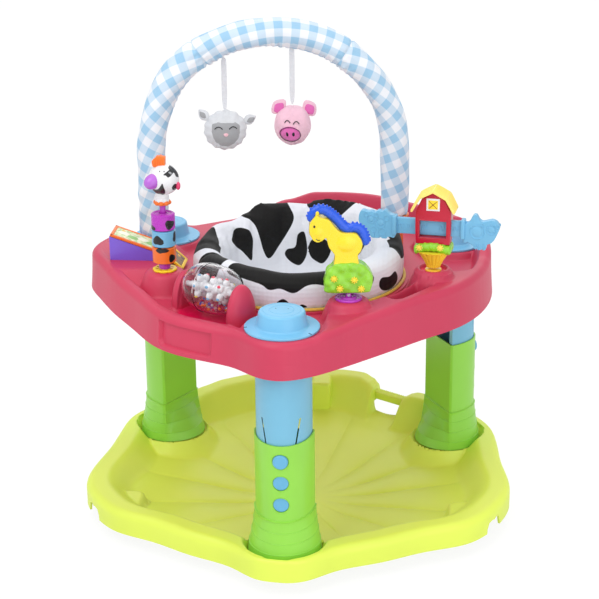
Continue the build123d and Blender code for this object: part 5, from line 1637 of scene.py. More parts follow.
class BuildPlush(bpy.types.Operator):
    """Sews the sheep's and the pig's heads and their tapes"""
    bl_idname = "jumper.plush"
    bl_label = "Plush heads"

    TURN = 10.1

    def execute(self, context):
        self.settings = context.scene.jumper_plush
        colour = colours()
        self.fleece = fleece("plush_white", colour.plush_white)
        self.face = fleece("plush_grey", colour.plush_grey)
        self.pink = fleece("plush_pink", colour.plush_pink)
        self.magenta = fleece("snout_pink", colour.snout)
        self.thread = plastic("thread_black", colour.black, 0.8, grain=2500, grain_depth=0.4)
        self.blush = fleece("nose_pink", linear(240, 190, 200))
        self.sheep()
        self.pig()
        for name in ("sheep", "pig"):
            self.tape(name)
        return {"FINISHED"}

    def sheep(self):
        half = tuple(self.settings.sheep_half)
        place = facing(middle("sheep_head"), self.TURN)

        def curls(x, y, z):
            locks = 1.8 * np.sin(np.arctan2(z, x) * 7 + 0.6) ** 2 * (1 - y * y)
            return locks + 0.5 * np.sin(x * 23) * np.sin(z * 21) * np.sin(y * 19)

        wool = stuffed("sheep_wool", half, curls)
        keep(move(wool, place), "sheep", self.fleece, "plush_grey", ["sheep_head"])
        outline = [(-22, 14), (-15, 17), (0, 16.5), (15, 16), (22.5, 13), (24, 3), (21, -11), (11, -22),
                   (1, -25.5), (-10, -22.5), (-20, -12), (-23.5, 2)]
        patch = self.patch("sheep_face", outline, half, 2.6)
        keep(move(patch, place), "sheep", self.face, "plush_grey")
        nose = self.patch("sheep_nose", [(-4.8, -0.5), (0, 1.2), (4.8, -0.5), (2.8, -5), (0, -6.2), (-2.8, -5)],
                          half, 3.8)
        keep(move(nose, place), "sheep", self.blush, "plush_pink")
        stitches = []
        for side, centre in ((-1, -11.5), (1, 11.5)):
            stitches.append(self.closed_eye(f"sheep_eye_{side}", half, centre, 8.5, 6.2, 3.6, 3.0))
        keep(move(join("sheep_eyes", stitches), place), "sheep", self.thread, "plush_grey")
        for side, tip, root in ((-1, (-41, 3, 33), (-27, 0, 17)), (1, (49, 3, 20), (29, 0, 11))):
            root, tip = Vector(root), Vector(tip)
            outer = self.leaf(f"sheep_ear_{side}", root, tip, 7.5, 3.2)
            keep(move(outer, place), "sheep", self.fleece, "plush_grey")
            inner = self.leaf(f"sheep_ear_lining_{side}", root.lerp(tip, 0.3) + Vector((0, -2.6, -1.2)),
                              tip - (tip - root) * 0.08 + Vector((0, -1.9, -1.2)), 4.2, 1.6)
            keep(move(inner, place), "sheep", self.face, "plush_grey")

    def pig(self):
        half = tuple(self.settings.pig_half)
        place = facing(middle("pig_head"), self.TURN)
        head = stuffed("pig_plush", half, lambda x, y, z: -1.6 * np.exp(-(x / 0.05) ** 2) * (y < 0.4) * 0.35
                       + 0.4 * np.sin(x * 9 + z * 4) - 1.2 * np.exp(-((z - 1) / 0.12) ** 2))
        keep(move(head, place), "pig", self.pink, "plush_pink", ["pig_head"])
        outline = [(17.5 * math.cos(a) - 5.5, 13 * math.sin(a) - 10 - 1.6 * math.cos(a))
                   for a in np.linspace(0, 2 * math.pi, 20, endpoint=False)]
        snout = self.patch("pig_snout", outline, half, 3.4)
        keep(move(snout, place), "pig", self.magenta, "plush_pink")
        rim = [on_face(half, x * 0.93 - 0.4, z * 0.93 - 0.7, 3.4) for x, z in outline]
        marks = [tube("snout_stitch", rim, 0.55, 6, closed=True, samples=5)]
        for k, x in enumerate((-10.4, -0.8)):
            nostril = ellipsoid(f"nostril_{k}", on_face(half, x, -8.5, 3.3), (2.2, 1.0, 4.2), 20)
            marks.append(nostril)
        marks.append(self.closed_eye("pig_eye_left", half, -10.0, 10.5, 4.2, 4.0, 0.4))
        marks.append(self.closed_eye("pig_eye_right", half, 4.0, 8.5, 4.8, 4.2, 0.4))
        keep(move(join("pig_stitches", marks), place), "pig", self.thread, "plush_grey")
        for side, root, tip in ((-1, (-14, 2, 22), (-29, 2, 37)), (1, (18, 2, 20), (37, 2, 31))):
            root, tip = Vector(root), Vector(tip)
            ear = self.leaf(f"pig_ear_{side}", root, tip, 11.0, 3.6, blunt=0.9)
            keep(move(ear, place), "pig", self.pink, "plush_pink")
            lining = self.leaf(f"pig_ear_lining_{side}", root.lerp(tip, 0.15) + Vector((0, -2.6, -1)),
                               root.lerp(tip, 0.86) + Vector((0, -2.4, -1)), 7.6, 2.0, blunt=0.8)
            keep(move(lining, place), "pig", self.magenta, "plush_pink")

    def patch(self, name, outline, half, lift):
        """A padded cloth patch that follows the front of a head."""
        loop = smooth_loop(outline, 6)
        centre = loop.mean(axis=0)
        rings = 10
        vertices, faces = [], []
        count = len(loop)
        for k in range(rings + 1):
            share = k / rings
            for x, z in centre + (loop - centre) * share:
                edge = lift * (1 - share ** 5) + 0.25
                vertices.append(on_face(half, x, z, edge if k < rings else -0.8))
        for k in range(rings):
            for j in range(count):
                a, b = k * count + j, k * count + (j + 1) % count
                faces.append((a, b, b + count, a + count))
        mesh = bpy.data.meshes.new(name)
        mesh.from_pydata([tuple(v * MM) for v in vertices], [], faces)
        piece = tidy_mesh(link(name, mesh))
        apply_modifier(piece, "SOLIDIFY", thickness=0.8 * MM, offset=-1)
        return smooth(tidy_mesh(piece), 80)

    def closed_eye(self, name, half, x, z, width, height, lift):
        """An arched line of thread, as a sleeping eye."""
        points = [on_face(half, x + width * t, z + height * (1 - t * t) - 2, lift) for t in (-1, -0.6, 0, 0.6, 1)]
        return tube(name, points, 0.75, 6, samples=6)

    def leaf(self, name, root, tip, width, thick, blunt=0.45):
        """A stuffed ear between two points, widest past its root."""
        piece = ellipsoid(name, (0, 0, 0), (1, 1, 1), 40)
        corners = corners_of(piece)
        length = (tip - root).length
        t = (corners[:, 0] + 1) / 2
        spread = (1 - t) * 0.75 + blunt * t + 0.5 * np.sin(math.pi * t)
        corners[:, 0] = (t * 1.06 - 0.03) * length
        corners[:, 1] = corners[:, 1] * thick
        corners[:, 2] = corners[:, 2] * width * spread
        place_corners(piece, corners)
        along = (tip - root).normalized()
        front = Vector((0, 1, 0))
        up = along.cross(front)
        turn = Matrix((along, front, up)).transposed().to_4x4()
        return move(piece, Matrix.Translation(root) @ turn)

    def tape(self, name):
        """A flat tape from the head up to the underside of the sleeve."""
        low_end, high_end = low(f"{name}_strap"), high(f"{name}_strap")
        centre = (low_end + high_end) / 2
        width = self.settings.tape_width
        route = [(0, low_end.z - 3), (0, centre.z), (0.4, high_end.z - 14), (0, high_end.z + 3)]
        vertices, faces = [], []
        for y, z in route:
            vertices += [(-width / 2, y, z), (width / 2, y, z)]
        for k in range(len(route) - 1):
            faces.append((2 * k, 2 * k + 1, 2 * k + 3, 2 * k + 2))
        mesh = bpy.data.meshes.new(name)
        mesh.from_pydata([(x * MM, y * MM, (z - centre.z) * MM) for x, y, z in vertices], [], faces)
        tape = link(f"{name}_tape", mesh)
        apply_modifier(tape, "SUBSURF", levels=2, render_levels=2)
        apply_modifier(tape, "SOLIDIFY", thickness=1.0 * MM, offset=0)
        tidy_mesh(tape, 0.001)
        move(tape, facing(centre, self.TURN))
        material = surface(f"tape_{name}", colours().tape, 0.75, variation=0.02, patch=80, bump=weave(1600),
                           grain_depth=0.4, Sheen_Weight=0.2)[0]
        keep(smooth(tape, 40), name, material, "webbing", [f"{name}_strap"])
        length = sum((Vector(b) - Vector(a)).length for a, b in zip(route, route[1:]))


def fleece(name, colour):
    """Short pile cloth: soft sheen and a fine nap."""
    return surface(name, colour, 0.85, variation=0.05, patch=60, grain=2200, grain_depth=0.9, Sheen_Weight=0.35,
                   Sheen_Roughness=0.6)[0]


# ---------------------------------------------------------------- cow spinner
class SpinnerSettings(bpy.types.PropertyGroup):
    radius: length_property("Radius", "Radius of the three turning cylinders", 18.2)
    head_radius: length_property("Head radius", "Radius of the cow's head", 23.5)


def blob_field(piece, centre, blobs):
    """Depth inside round blobs given as (degrees from the front, height, half width, half height)."""
    corners = corners_of(piece)
    x, y = corners[:, 0] - centre.x, corners[:, 1] - centre.y
    radius = np.hypot(x, y)
    theta = np.degrees(np.arctan2(x, -y))
    field = np.full(len(corners), -9.0)
    for angle, height, half_width, half_height in blobs:
        turn = (theta - angle + 180) % 360 - 180
        across = np.radians(turn) * np.maximum(radius, 4)
        wobble = 1 + 0.16 * np.sin(3 * np.arctan2(corners[:, 2] - height, across) + angle)
        away = np.hypot(across / half_width, (corners[:, 2] - height) / half_height) / wobble
        field = np.maximum(field, (1 - away) * min(half_width, half_height))
    return give_field(piece, "patch", field)


class BuildSpinner(bpy.types.Operator):
    """Builds the spinner: star, stacked cylinders, rod, collar and cow's head"""
    bl_idname = "jumper.spinner"
    bl_label = "Cow spinner"

    CYLINDERS = {
        "orange": [(-5, 457, 11, 3.6), (52, 444, 7, 6), (150, 450, 9, 6), (-130, 444, 8, 7), (-78, 438, 5, 4)],
        "blue": [(-22, 473, 10, 7), (78, 476, 6, 8), (160, 472, 9, 7), (-120, 475, 8, 6)],
        "purple": [(45, 498, 9, 7), (-55, 492, 7, 4), (140, 505, 8, 5), (-140, 499, 8, 6)],
    }

    def execute(self, context):
        self.settings = context.scene.jumper_spinner
        colour = colours()
        self.centre = middle("spin_blue")
        black = colour.black
        for name, blobs in self.CYLINDERS.items():
            body = self.cylinder(name)
            blob_field(body, self.centre, blobs)
            paint = marked(f"spin_{name}", getattr(colour, name), black, "patch", 0.3, variation=0.03)
            keep(body, f"{name}_spinner", paint, f"toy_{name}", [f"spin_{name}"])
        purple = plastic("rod_purple", colour.purple, 0.25, Coat_Weight=0.3)
        assign(frame["nodes"]["spinner_rod"], purple)
        self.star(plastic("star_yellow", colour.yellow, 0.3))
        self.head(colour)
        return {"FINISHED"}

    def cylinder(self, name):
        bottom, top = low(f"spin_{name}").z, high(f"spin_{name}").z
        r = self.settings.radius
        profile = [(6.2, bottom + 0.2), (r - 2, bottom + 0.2), (r, bottom + 1.6), (r + 0.2, bottom + 2.2),
                   (r, bottom + 2.8), (r - 0.1, (bottom + top) / 2), (r, top - 2.8), (r + 0.2, top - 2.2),
                   (r, top - 1.6), (r - 2, top - 0.2), (r - 4.6, top - 0.2), (r - 5.2, top - 1.4),
                   (8.4, top - 1.4),
                   (7.8, top - 0.2), (6.2, top - 0.2), (6.2, bottom + 0.2)]
        turned = lathe(f"spinner_{name}", profile, self.centre, steps=160, rounding=0.5)
        apply_modifier(turned, "SUBSURF", levels=1, render_levels=1)
        return turned

    def spot(self, reach, turn, height):
        """A place round the spinner's rod."""
        return self.centre.x + reach * math.cos(turn), self.centre.y + reach * math.sin(turn), height

    def star(self, material):
        """A disc with eight round petals."""
        outline = []
        for k in range(96):
            a = 2 * math.pi * k / 96
            r = 17.0 + 1.8 * abs(math.cos(4 * a)) ** 0.6
            outline.append((r * math.cos(a), r * math.sin(a)))
        bottom = low("spinner_star").z
        star = prism("star", outline, bottom, bottom + 3.3, bevel=1.0, segments=3,
                     matrix=Matrix.Translation((self.centre.x, self.centre.y, 0)))
        # The slots are not cut: eight flat dark dots on the star's top stand for them as painted shade
        slot_shades = []
        for k in range(8):
            a = math.radians(45 * k + 22.5)
            slot_shades.append(ellipsoid(f"slot_{k}", self.spot(12.4, a, bottom + 3.35), (2.4, 1.2, 0.35), 12))
        keep(star, "tray", material, "toy_yellow", ["spinner_star"])
        # Painted shade: a darkened yellow for the shaded insides of the slots
        dark = plastic("slot_dark", linear(150, 96, 20), 0.6)
        keep(join("star_slots", slot_shades), "tray", dark, "toy_yellow")

    def head(self, colour):
        centre = Vector((self.centre.x + 3.5, self.centre.y, 566))
        r = self.settings.head_radius

        def seams(x, y, z):
            turn = np.arctan2(y, x)
            return -0.35 * (np.abs(np.sin(turn * 4)) < 0.12) + 0.3 * np.cos(turn * 8)

        head = stuffed("cow_ball", (r, r, r * 1.02), seams, 128)
        move(head, Matrix.Translation(centre))
        corners = corners_of(head) - np.array(centre)
        x, z = corners[:, 0], corners[:, 2]
        front = corners[:, 1] < 0
        field = np.full(len(corners), -9.0)
        top_right = [(9, 21), (14, 24), (20, 19), (25, 12), (26, 4), (21, 6), (18, 12), (13, 16)]
        under = [(-18, -6), (-12, -11), (-6, -10), (-1, -4), (2, 0), (4, -8), (5, -13), (3, -19), (-6, -24),
                 (-15, -20)]
        eye = [(3, 12), (8, 16), (13, 18.5), (17, 15), (14, 10), (10, 8), (7, 11)]
        cheek = [(15, -8), (19, -3), (22, -8), (20, -15), (16, -14)]
        for patch in (top_right, under, eye, cheek):
            depth = inside_depth(x, z, patch)
            field = np.maximum(field, np.where(front, depth, -9))
        back = np.hypot(x / 12, (z - 3) / 10)
        field = np.maximum(field, np.where(~front, (1 - back) * 10, -9))
        give_field(head, "patch", field)
        paint = marked("cow_head", colour.white, colour.black, "patch", 0.28, variation=0.01, Coat_Weight=0.3)
        keep(head, "cow", paint, "toy_white", ["cow_head"])
        neck = lathe("cow_neck", [(0, 531), (10.8, 531), (11.2, 534), (10.0, 536.5), (10.6, 539), (9.6, 541.5),
                                  (10, 547), (0, 547)], self.centre, steps=64, rounding=0.6)
        keep(neck, "cow", plastic("neck_white", colour.white, 0.3), "toy_white")
        lilac = plastic("muzzle_purple", linear(178, 96, 205), 0.22, Coat_Weight=0.4)
        muzzle = ellipsoid("muzzle", (0, 0, 0), (15.5, 11.5, 11.6), 48)
        tilt = Matrix.Rotation(math.radians(-16), 4, "Y")
        aside = Matrix.Rotation(math.radians(42), 4, "Z")
        move(muzzle, Matrix.Translation(centre + Vector((-13.6, -14.4, 0.5))) @ aside @ tilt)
        keep(muzzle, "cow", lilac, "toy_purple")
        marks = []
        for side, spread in ((-1, -1.5), (1, 5.0)):
            spot = centre + Vector((spread - 1, -math.sqrt(r * r - (spread - 1) ** 2 - 256) + 0.2, 16))
            marks.append(ellipsoid(f"brow_{side}", spot, (0.9, 0.9, 2.0), 12))
        for k, offset in enumerate(((-20.5, -22.3, 3.2), (-12.4, -25.4, 1.6))):
            marks.append(ellipsoid(f"nostril_{k}", centre + Vector(offset), (1.1, 0.8, 1.1), 12))
        keep(join("cow_marks", marks), "cow", plastic("mark_black", colour.black, 0.5), "toy_white")
        eye_spot = centre + Vector((12.3, -math.sqrt(r * r - 151 - 180) - 0.1, 13.4))
        iris = ellipsoid("iris", eye_spot, (3.0, 0.9, 2.5), 20)
        keep(iris, "cow", plastic("iris_grey", linear(150, 152, 156), 0.35), "plush_grey")
        ear = ellipsoid("ear", centre + Vector((22.5, -5.5, -8.5)), (3.6, 5.0, 6.4), 24)
        other = ellipsoid("ear_far", centre + Vector((9, 20.5, -4)), (5.0, 3.6, 6.4), 24)
        keep(join("cow_ears", [ear, other]), "cow", plastic("ear_pink", linear(226, 66, 112), 0.4), "toy_purple")
        self.hair(centre, plastic("hair_orange", colour.orange, 0.35))
        collar = []
        bottom = low("cow_collar").z
        for k in range(8):
            a = 2 * math.pi * k / 8
            collar.append(ellipsoid(f"petal_{k}", self.spot(9.4, a, bottom + 3.8), (4.6, 4.6, 3.7), 24))
        collar.append(lathe("band", [(0, bottom + 0.2), (10, bottom + 0.2), (10.8, bottom + 4), (10, bottom + 7.4),
                                     (0, bottom + 7.4)], self.centre, 48, rounding=1.0))
        keep(join("cow_collar_ring", collar), "cow", plastic("collar_orange", colour.orange, 0.32), "toy_orange",
             ["cow_collar"])

    def hair(self, centre, material):
        """A flat topped tuft with upright ridges."""
        outline = [(-10.5, 0), (-12, 9), (-6.5, 13.5), (-4.5, 17), (-1, 15.5), (0.5, 18), (4, 15.8), (8.5, 15.2),
                   (8.2, 6), (8.5, 0)]
        tuft = prism("tuft", outline, -6, 6, bevel=1.4, segments=3,
                     matrix=Matrix.Translation(centre + Vector((-5, 0, 20))) @ UPRIGHT)
        ridges = [tuft]
        for k, x in enumerate((-7.5, -3.6, 0.2, 4.2)):
            ridges.append(tube(f"ridge_{k}", [centre + Vector((x - 5, -5.6, 21)),
                                              centre + Vector((x - 5, -6.2, 28)),
                                              centre + Vector((x - 4.4, -5.0, 33.4))], 1.1, 8))
        keep(join("cow_tuft", ridges), "cow", material, "toy_orange", ["cow_hair"])


# ---------------------------------------------------------------- barrel
class BarrelSettings(bpy.types.PropertyGroup):
    radius: length_property("Radius", "Radius of the clear shell", 36.8)
    half_length: length_property("Half length", "Half length of the clear shell", 46.5)
    bead_count: bpy.props.IntProperty(name="Beads", description="Loose beads in the shell", default=46)


class BuildBarrel(bpy.types.Operator):
    """Builds the clear rattle barrel with its spindle and beads"""
    bl_idname = "jumper.barrel"
    bl_label = "Barrel"

    def execute(self, context):
        self.settings = context.scene.jumper_barrel
        colour = colours()
        centre = middle("barrel_core")
        self.place = Matrix.Translation(centre) @ Matrix.Rotation(barrel_turn(), 4, "Z") \
            @ Matrix.Rotation(math.radians(90), 4, "Y")
        shell = self.shell()
        clear = surface("clear_shell", (0.97, 0.97, 0.98), 0.08, variation=0.0, grain=40, grain_depth=0.15,
                        Transmission_Weight=1.0, IOR=1.3)[0]
        keep(shell, "barrel", clear, "clear_shell", ["barrel_shell_left", "barrel_shell_right"])
        white = plastic("spindle_white", colour.white, 0.3)
        self.spindle(white, colour)
        self.beads(colour)
        assign(frame["nodes"]["barrel_axle"], white)
        return {"FINISHED"}

    def radius_at(self, z, shrink=0.0):
        share = min(1.0, abs(z) / (self.settings.half_length + 1.5))
        return max(4.6, (self.settings.radius - shrink) * (1 - share ** 3.0) ** (1 / 2.4))

    def shell(self):
        half = self.settings.half_length
        stops = [half * math.sin(math.radians(a)) for a in range(-90, 91, 5)]
        outer = [(self.radius_at(z), z) for z in stops]
        inner = [(self.radius_at(z, 2.0), z * 0.97) for z in reversed(stops)]
        seam = -9.0
        ring = [(self.radius_at(seam) + 0.1, seam - 1.6), (self.radius_at(seam) + 1.1, seam - 1.0),
                (self.radius_at(seam) + 1.1, seam + 1.0), (self.radius_at(seam) + 0.1, seam + 1.6)]
        outer = [p for p in outer if abs(p[1] - seam) > 2.2]
        outer = sorted(outer + ring, key=lambda p: p[1])
        shell = lathe("shell_clear", outer + inner + [outer[0]], steps=96)
        return move(shell, self.place)

    def spindle(self, white, colour):
        """A white spindle with three lobed drums and their coloured inlays."""
        parts = [lathe("spindle", [(0, -40), (5, -40), (5, -30), (9, -28), (10, -22), (9, -16), (5.5, -14),
                                   (5.5, -4), (9.5, -2), (11, 3), (9.5, 8), (6, 10), (6, 17), (10, 19), (11.5, 25),
                                   (9, 31), (5, 33), (5, 40), (0, 40)], steps=64, rounding=1.5)]
        for z in (-22, 3, 25):
            for k in range(6):
                a = 2 * math.pi * (k + z / 30) / 6
                parts.append(ellipsoid(f"lobe_{z}_{k}", (13 * math.cos(a), 13 * math.sin(a), z), (6.4, 6.4, 5.0),
                                       24))
        core = join("spindle_white", parts)
        keep(move(core, self.place), "barrel", white, "toy_white", ["barrel_core"])
        inlays = ((colour.yellow, "toy_yellow", 0), (linear(236, 60, 90), "bead_red", 2),
                  (colour.blue, "toy_blue", 4))
        for number, (tint, slot, start) in enumerate(inlays):
            discs = []
            for z in (-22, 3, 25):
                for k in (start, start + 1):
                    a = 2 * math.pi * (k + z / 30) / 6
                    discs.append(ellipsoid(f"inlay_{z}_{k}", (18.4 * math.cos(a), 18.4 * math.sin(a), z),
                                           (2.4, 2.4, 2.9), 16))
            inlay = join(f"inlay_{number}", discs)
            keep(move(inlay, self.place), "barrel", plastic(f"inlay_{number}", tint, 0.35), slot)

    def beads(self, colour):
        """Loose beads lying along the bottom of the shell."""
        tints = [linear(200, 40, 80), linear(150, 60, 160), colour.orange, linear(60, 90, 200),
                 linear(235, 235, 240)]
        random = np.random.default_rng(7)
        groups = [[] for _ in tints]
        for k in range(self.settings.bead_count):
            along = random.uniform(-27, 27)
            spread = random.uniform(-0.62, 0.62)
            layer = random.uniform(0, 1) ** 2 * 5
            reach = self.radius_at(along, 2.0) - 3.0 - layer
            bead = ellipsoid(f"bead_{k}", (reach * math.cos(spread), reach * math.sin(spread), along),
                             (2.3, 2.3, 2.3), 14)
            groups[k % len(tints)].append(bead)
        for number, (beads, tint) in enumerate(zip(groups, tints)):
            pile = move(join(f"beads_{number}", beads), self.place)
            keep(pile, "barrel", plastic(f"bead_{number}", tint, 0.25), "bead_red",
                 ["barrel_beads"] if number == 0 else ())


# ---------------------------------------------------------------- rocking horse
class HorseSettings(bpy.types.PropertyGroup):
    thickness: length_property("Thickness", "Thickness of the horse's body", 22.0)
    voxel: length_property("Voxel", "Remesh size of the moulded toy", 1.1)


HORSE_TURN = 5.6
HORSE_BODY = [(-57, 529), (-55, 541), (-48, 550), (-46, 554), (-42, 549), (-28, 544), (-20, 534), (-10, 525),
              (8, 524), (15.5, 518), (20, 508), (17.5, 497), (13, 490), (13, 470), (-20, 470), (-20, 490),
              (-28, 502), (-31, 512), (-33, 519), (-36, 515), (-44, 511), (-52, 515)]
BUSH = [(-35, 455), (-31, 466), (-24, 474), (-18, 479), (14, 479), (26, 471.5), (33, 462), (35, 450), (32, 439),
        (26, 434), (-31, 434), (-35, 444)]
FLOWERS = [(-21.5, 457), (8, 455), (-13, 442), (18, 441.5)]


def standing(centre, turn):
    """Places a flat outline, drawn as right and up, upright and facing the front."""
    return Matrix.Translation((centre.x, centre.y, 0)) @ Matrix.Rotation(math.radians(turn), 4, "Z") @ UPRIGHT


def flower(name, x, z, radius=5.0):
    """A flower of eight petals round a domed middle."""
    parts = []
    for k in range(8):
        a = 2 * math.pi * k / 8
        for kind, reach, width in (("", 0.86, 0.24), ("arm_", 0.5, 0.26)):
            spot = (x + radius * reach * math.cos(a), z + radius * reach * math.sin(a), 0)
            parts.append(ellipsoid(f"{name}_{kind}{k}", spot, (radius * width, radius * width, 1.3), 12))
    parts.append(ellipsoid(f"{name}_eye", (x, z, 0.3), (radius * 0.42, radius * 0.42, 1.7), 16))
    return join(name, parts)


class BuildHorse(bpy.types.Operator):
    """Moulds the horse, its knobbly mane and tail, and the bush that it rocks on"""
    bl_idname = "jumper.horse"
    bl_label = "Horse"

    def execute(self, context):
        self.settings = context.scene.jumper_horse
        colour = colours()
        centre = middle("horse_base")
        self.place = standing(centre, HORSE_TURN)
        voxel = self.settings.voxel
        half = self.settings.thickness / 2
        body = prism("body", rounded(HORSE_BODY), -half, half, bevel=5.5, segments=4)
        cheeks = [ellipsoid("cheek", (-45, 526, 3), (12.5, 13, 10), 32),
                  ellipsoid("cheek_far", (-45, 526, -3), (12.5, 13, 10), 32),
                  ellipsoid("belly", (-3, 508, 3.5), (20, 16, 11), 32),
                  ellipsoid("belly_far", (-3, 508, -3.5), (20, 16, 11), 32),
                  ellipsoid("ear", (-45, 553, 5), (3.2, 5, 2.6), 16),
                  ellipsoid("ear_far", (-45, 553, -5), (3.2, 5, 2.6), 16)]
        horse = melt(join("horse_yellow", [body, *cheeks]), voxel, rounds=5)
        yellow = plastic("horse_yellow", colour.yellow, 0.28, variation=0.03, Coat_Weight=0.35)
        keep(move(horse, self.place), "horse", yellow, "toy_yellow", ["horse_body"])
        self.mane(plastic("mane_blue", colour.royal, 0.3, Coat_Weight=0.3), voxel)
        self.face(plastic("horse_marks", colour.black, 0.5))
        self.bush(colour)
        self.foot(plastic("foot_purple", colour.purple, 0.28, Coat_Weight=0.2))
        return {"FINISHED"}

    def mane(self, material, voxel):
        """A ribbon of hair studded with small knobs."""
        path = [(-53, 546), (-49, 554.5), (-42, 558), (-34, 556.5), (-27, 552), (-20, 546), (-13.5, 539),
                (-8, 532.5), (-1, 528), (7, 530.5), (14, 529), (19.5, 524), (22.5, 517), (23.5, 510)]
        line = smooth_loop(path + path[::-1], 4)[:len(path) * 4 - 3]
        lumps = [ellipsoid(f"lump_{k}", (x, z, 0), (7.6, 7.6, 6.2), 20) for k, (x, z) in enumerate(line[::2])]
        hair = melt(join("mane", lumps), voxel, rounds=8)
        random = np.random.default_rng(3)
        knobs = []
        for k, (x, z) in enumerate(line[::2]):
            for face in (-1, 1):
                for pair in range(2):
                    a, r = random.uniform(0, 2 * math.pi), random.uniform(0.5, 4.6)
                    out = 5.9 * math.sqrt(1 - (r / 7.8) ** 2)
                    knobs.append(ellipsoid(f"knob_{k}_{face}_{pair}",
                                           (x + r * math.cos(a), z + r * math.sin(a), face * out),
                                           (0.95, 0.95, 0.8), 10))
            rim = Vector(line[min(2 * k + 1, len(line) - 1)]) - Vector(line[max(2 * k - 1, 0)])
            out_of_line = Vector((-rim.y, rim.x)).normalized() * 7.2
            knobs.append(ellipsoid(f"edge_{k}", (x + out_of_line.x, z + out_of_line.y, 0), (1.9, 1.9, 2.6), 12))
        keep(move(join("mane_blue", [hair, *knobs]), self.place), "horse", material, "mane_blue", ["horse_mane"])

    def face(self, material):
        marks = []
        for side in (-1, 1):
            marks.append(ellipsoid(f"eye_{side}", (-49.5, 535.5, side * 11.6), (1.5, 2.0, 1.0), 14))
            smile = [(-47, 517, side * 11.2), (-44.5, 514.8, side * 11.9), (-41.5, 515.4, side * 12.2)]
            marks.append(tube(f"smile_{side}", smile, 0.5, 6, samples=4))
        keep(move(join("horse_marks", marks), self.place), "horse", material, "toy_yellow")

    def bush(self, colour):
        lumps = [prism("bush", rounded(BUSH), -13, 13, bevel=6, segments=4)]
        for k, (x, z, r) in enumerate(((-24, 463, 10), (-10, 472, 9), (5, 473, 9), (18, 467, 10), (27, 455, 9),
                                       (-29, 449, 8), (-14, 452, 12), (4, 457, 12), (20, 446, 11), (-4, 444, 11),
                                       (-24, 441, 8))):
            for side in (-1, 1):
                lumps.append(ellipsoid(f"tuft_{k}_{side}", (x, z, side * 7), (r, r, 9), 20))
        bush = melt(join("bush_green", lumps), 1.3, rounds=14)
        green = plastic("bush_green", colour.green, 0.28, variation=0.06, patch=30, Coat_Weight=0.35)
        keep(move(bush, self.place), "horse", green, "toy_green", ["horse_bush"])
        blooms = []
        for k, (x, z) in enumerate(FLOWERS):
            for side in (-1, 1):
                bloom = flower(f"flower_{k}_{side}", x, z)
                blooms.append(move(bloom, Matrix.Translation((0, 0, side * 15.6))))
        yellow = plastic("flower_yellow", linear(246, 220, 60), 0.35)
        keep(move(join("flowers", blooms), self.place), "horse", yellow, "toy_yellow", ["bush_flowers"])

    def foot(self, material):
        """Purple ringed disc in the mound, with two lugs that hold the pin."""
        centre = middle("horse_base")
        bottom = low("horse_base").z
        profile = [(0, bottom), (20, bottom), (20, bottom + 2.4), (18.6, bottom + 3.4), (15.5, bottom + 3.4),
                   (15, bottom + 2.2), (12.6, bottom + 2.2), (12, bottom + 4.6), (8.4, bottom + 5.4),
                   (8, bottom + 4), (5, bottom + 4), (4.6, bottom + 7), (0, bottom + 7)]
        disc = lathe("horse_disc", profile, centre, steps=96, rounding=0.6)
        lugs = []
        for side in (-1, 1):
            lugs.append(block(f"lug_{side}", (-3.6, side * 6.2 - 1.6, bottom + 2), (3.6, side * 6.2 + 1.6, 432),
                              0.8))
        turn = Matrix.Translation((centre.x, centre.y, 0)) @ Matrix.Rotation(math.radians(HORSE_TURN), 4, "Z")
        for lug in lugs:
            move(lug, turn)
        keep(join("horse_disc", [disc, *lugs]), "tray", material, "toy_purple", ["horse_base"])
        steel = surface("pin_steel", colours().steel, 0.3, Metallic=1.0)[0]
        assign(frame["nodes"]["horse_pin"], steel)


# ---------------------------------------------------------------- barn
class BarnSettings(bpy.types.PropertyGroup):
    half_width: length_property("Half width", "Half width of the barn", 27.0)
    depth: length_property("Depth", "Depth of the barn, front to back", 26.0)
    cone_lift: length_property("Cone lift", "Foot of the fluted cone over the mound's recess", 7.0)


BARN_TURN = -8.5
LEFT_FIGURE = [(-116, 498), (-114, 509), (-110, 512), (-103, 510.5), (-96, 511), (-91, 509.5), (-86, 513),
               (-80, 511.5), (-75, 514.5), (-71, 511), (-67, 508), (-60.6, 506), (-59.5, 497), (-59.5, 473),
               (-67, 472.5), (-71.5, 472), (-72, 469.5), (-79, 469.3), (-82, 471), (-86, 469.3), (-94, 469.3),
               (-97, 471), (-99, 474), (-104, 478), (-110, 484), (-114, 490)]
RIGHT_FIGURE = [(45.5, 499), (51, 502), (55, 505), (58, 512), (61.5, 515.5), (65.5, 514.5), (68.5, 509),
                (73, 505.5), (80, 506.5), (87, 508.5), (93, 507.5), (98, 503), (100, 496.5), (98, 490),
                (95.5, 484), (92, 477), (87, 472), (81.5, 469.5), (80, 462), (76.5, 460.5), (74, 462),
                (71.5, 460.5), (68, 461), (65.5, 463), (62.5, 462), (59, 468), (52, 472), (45.5, 472)]


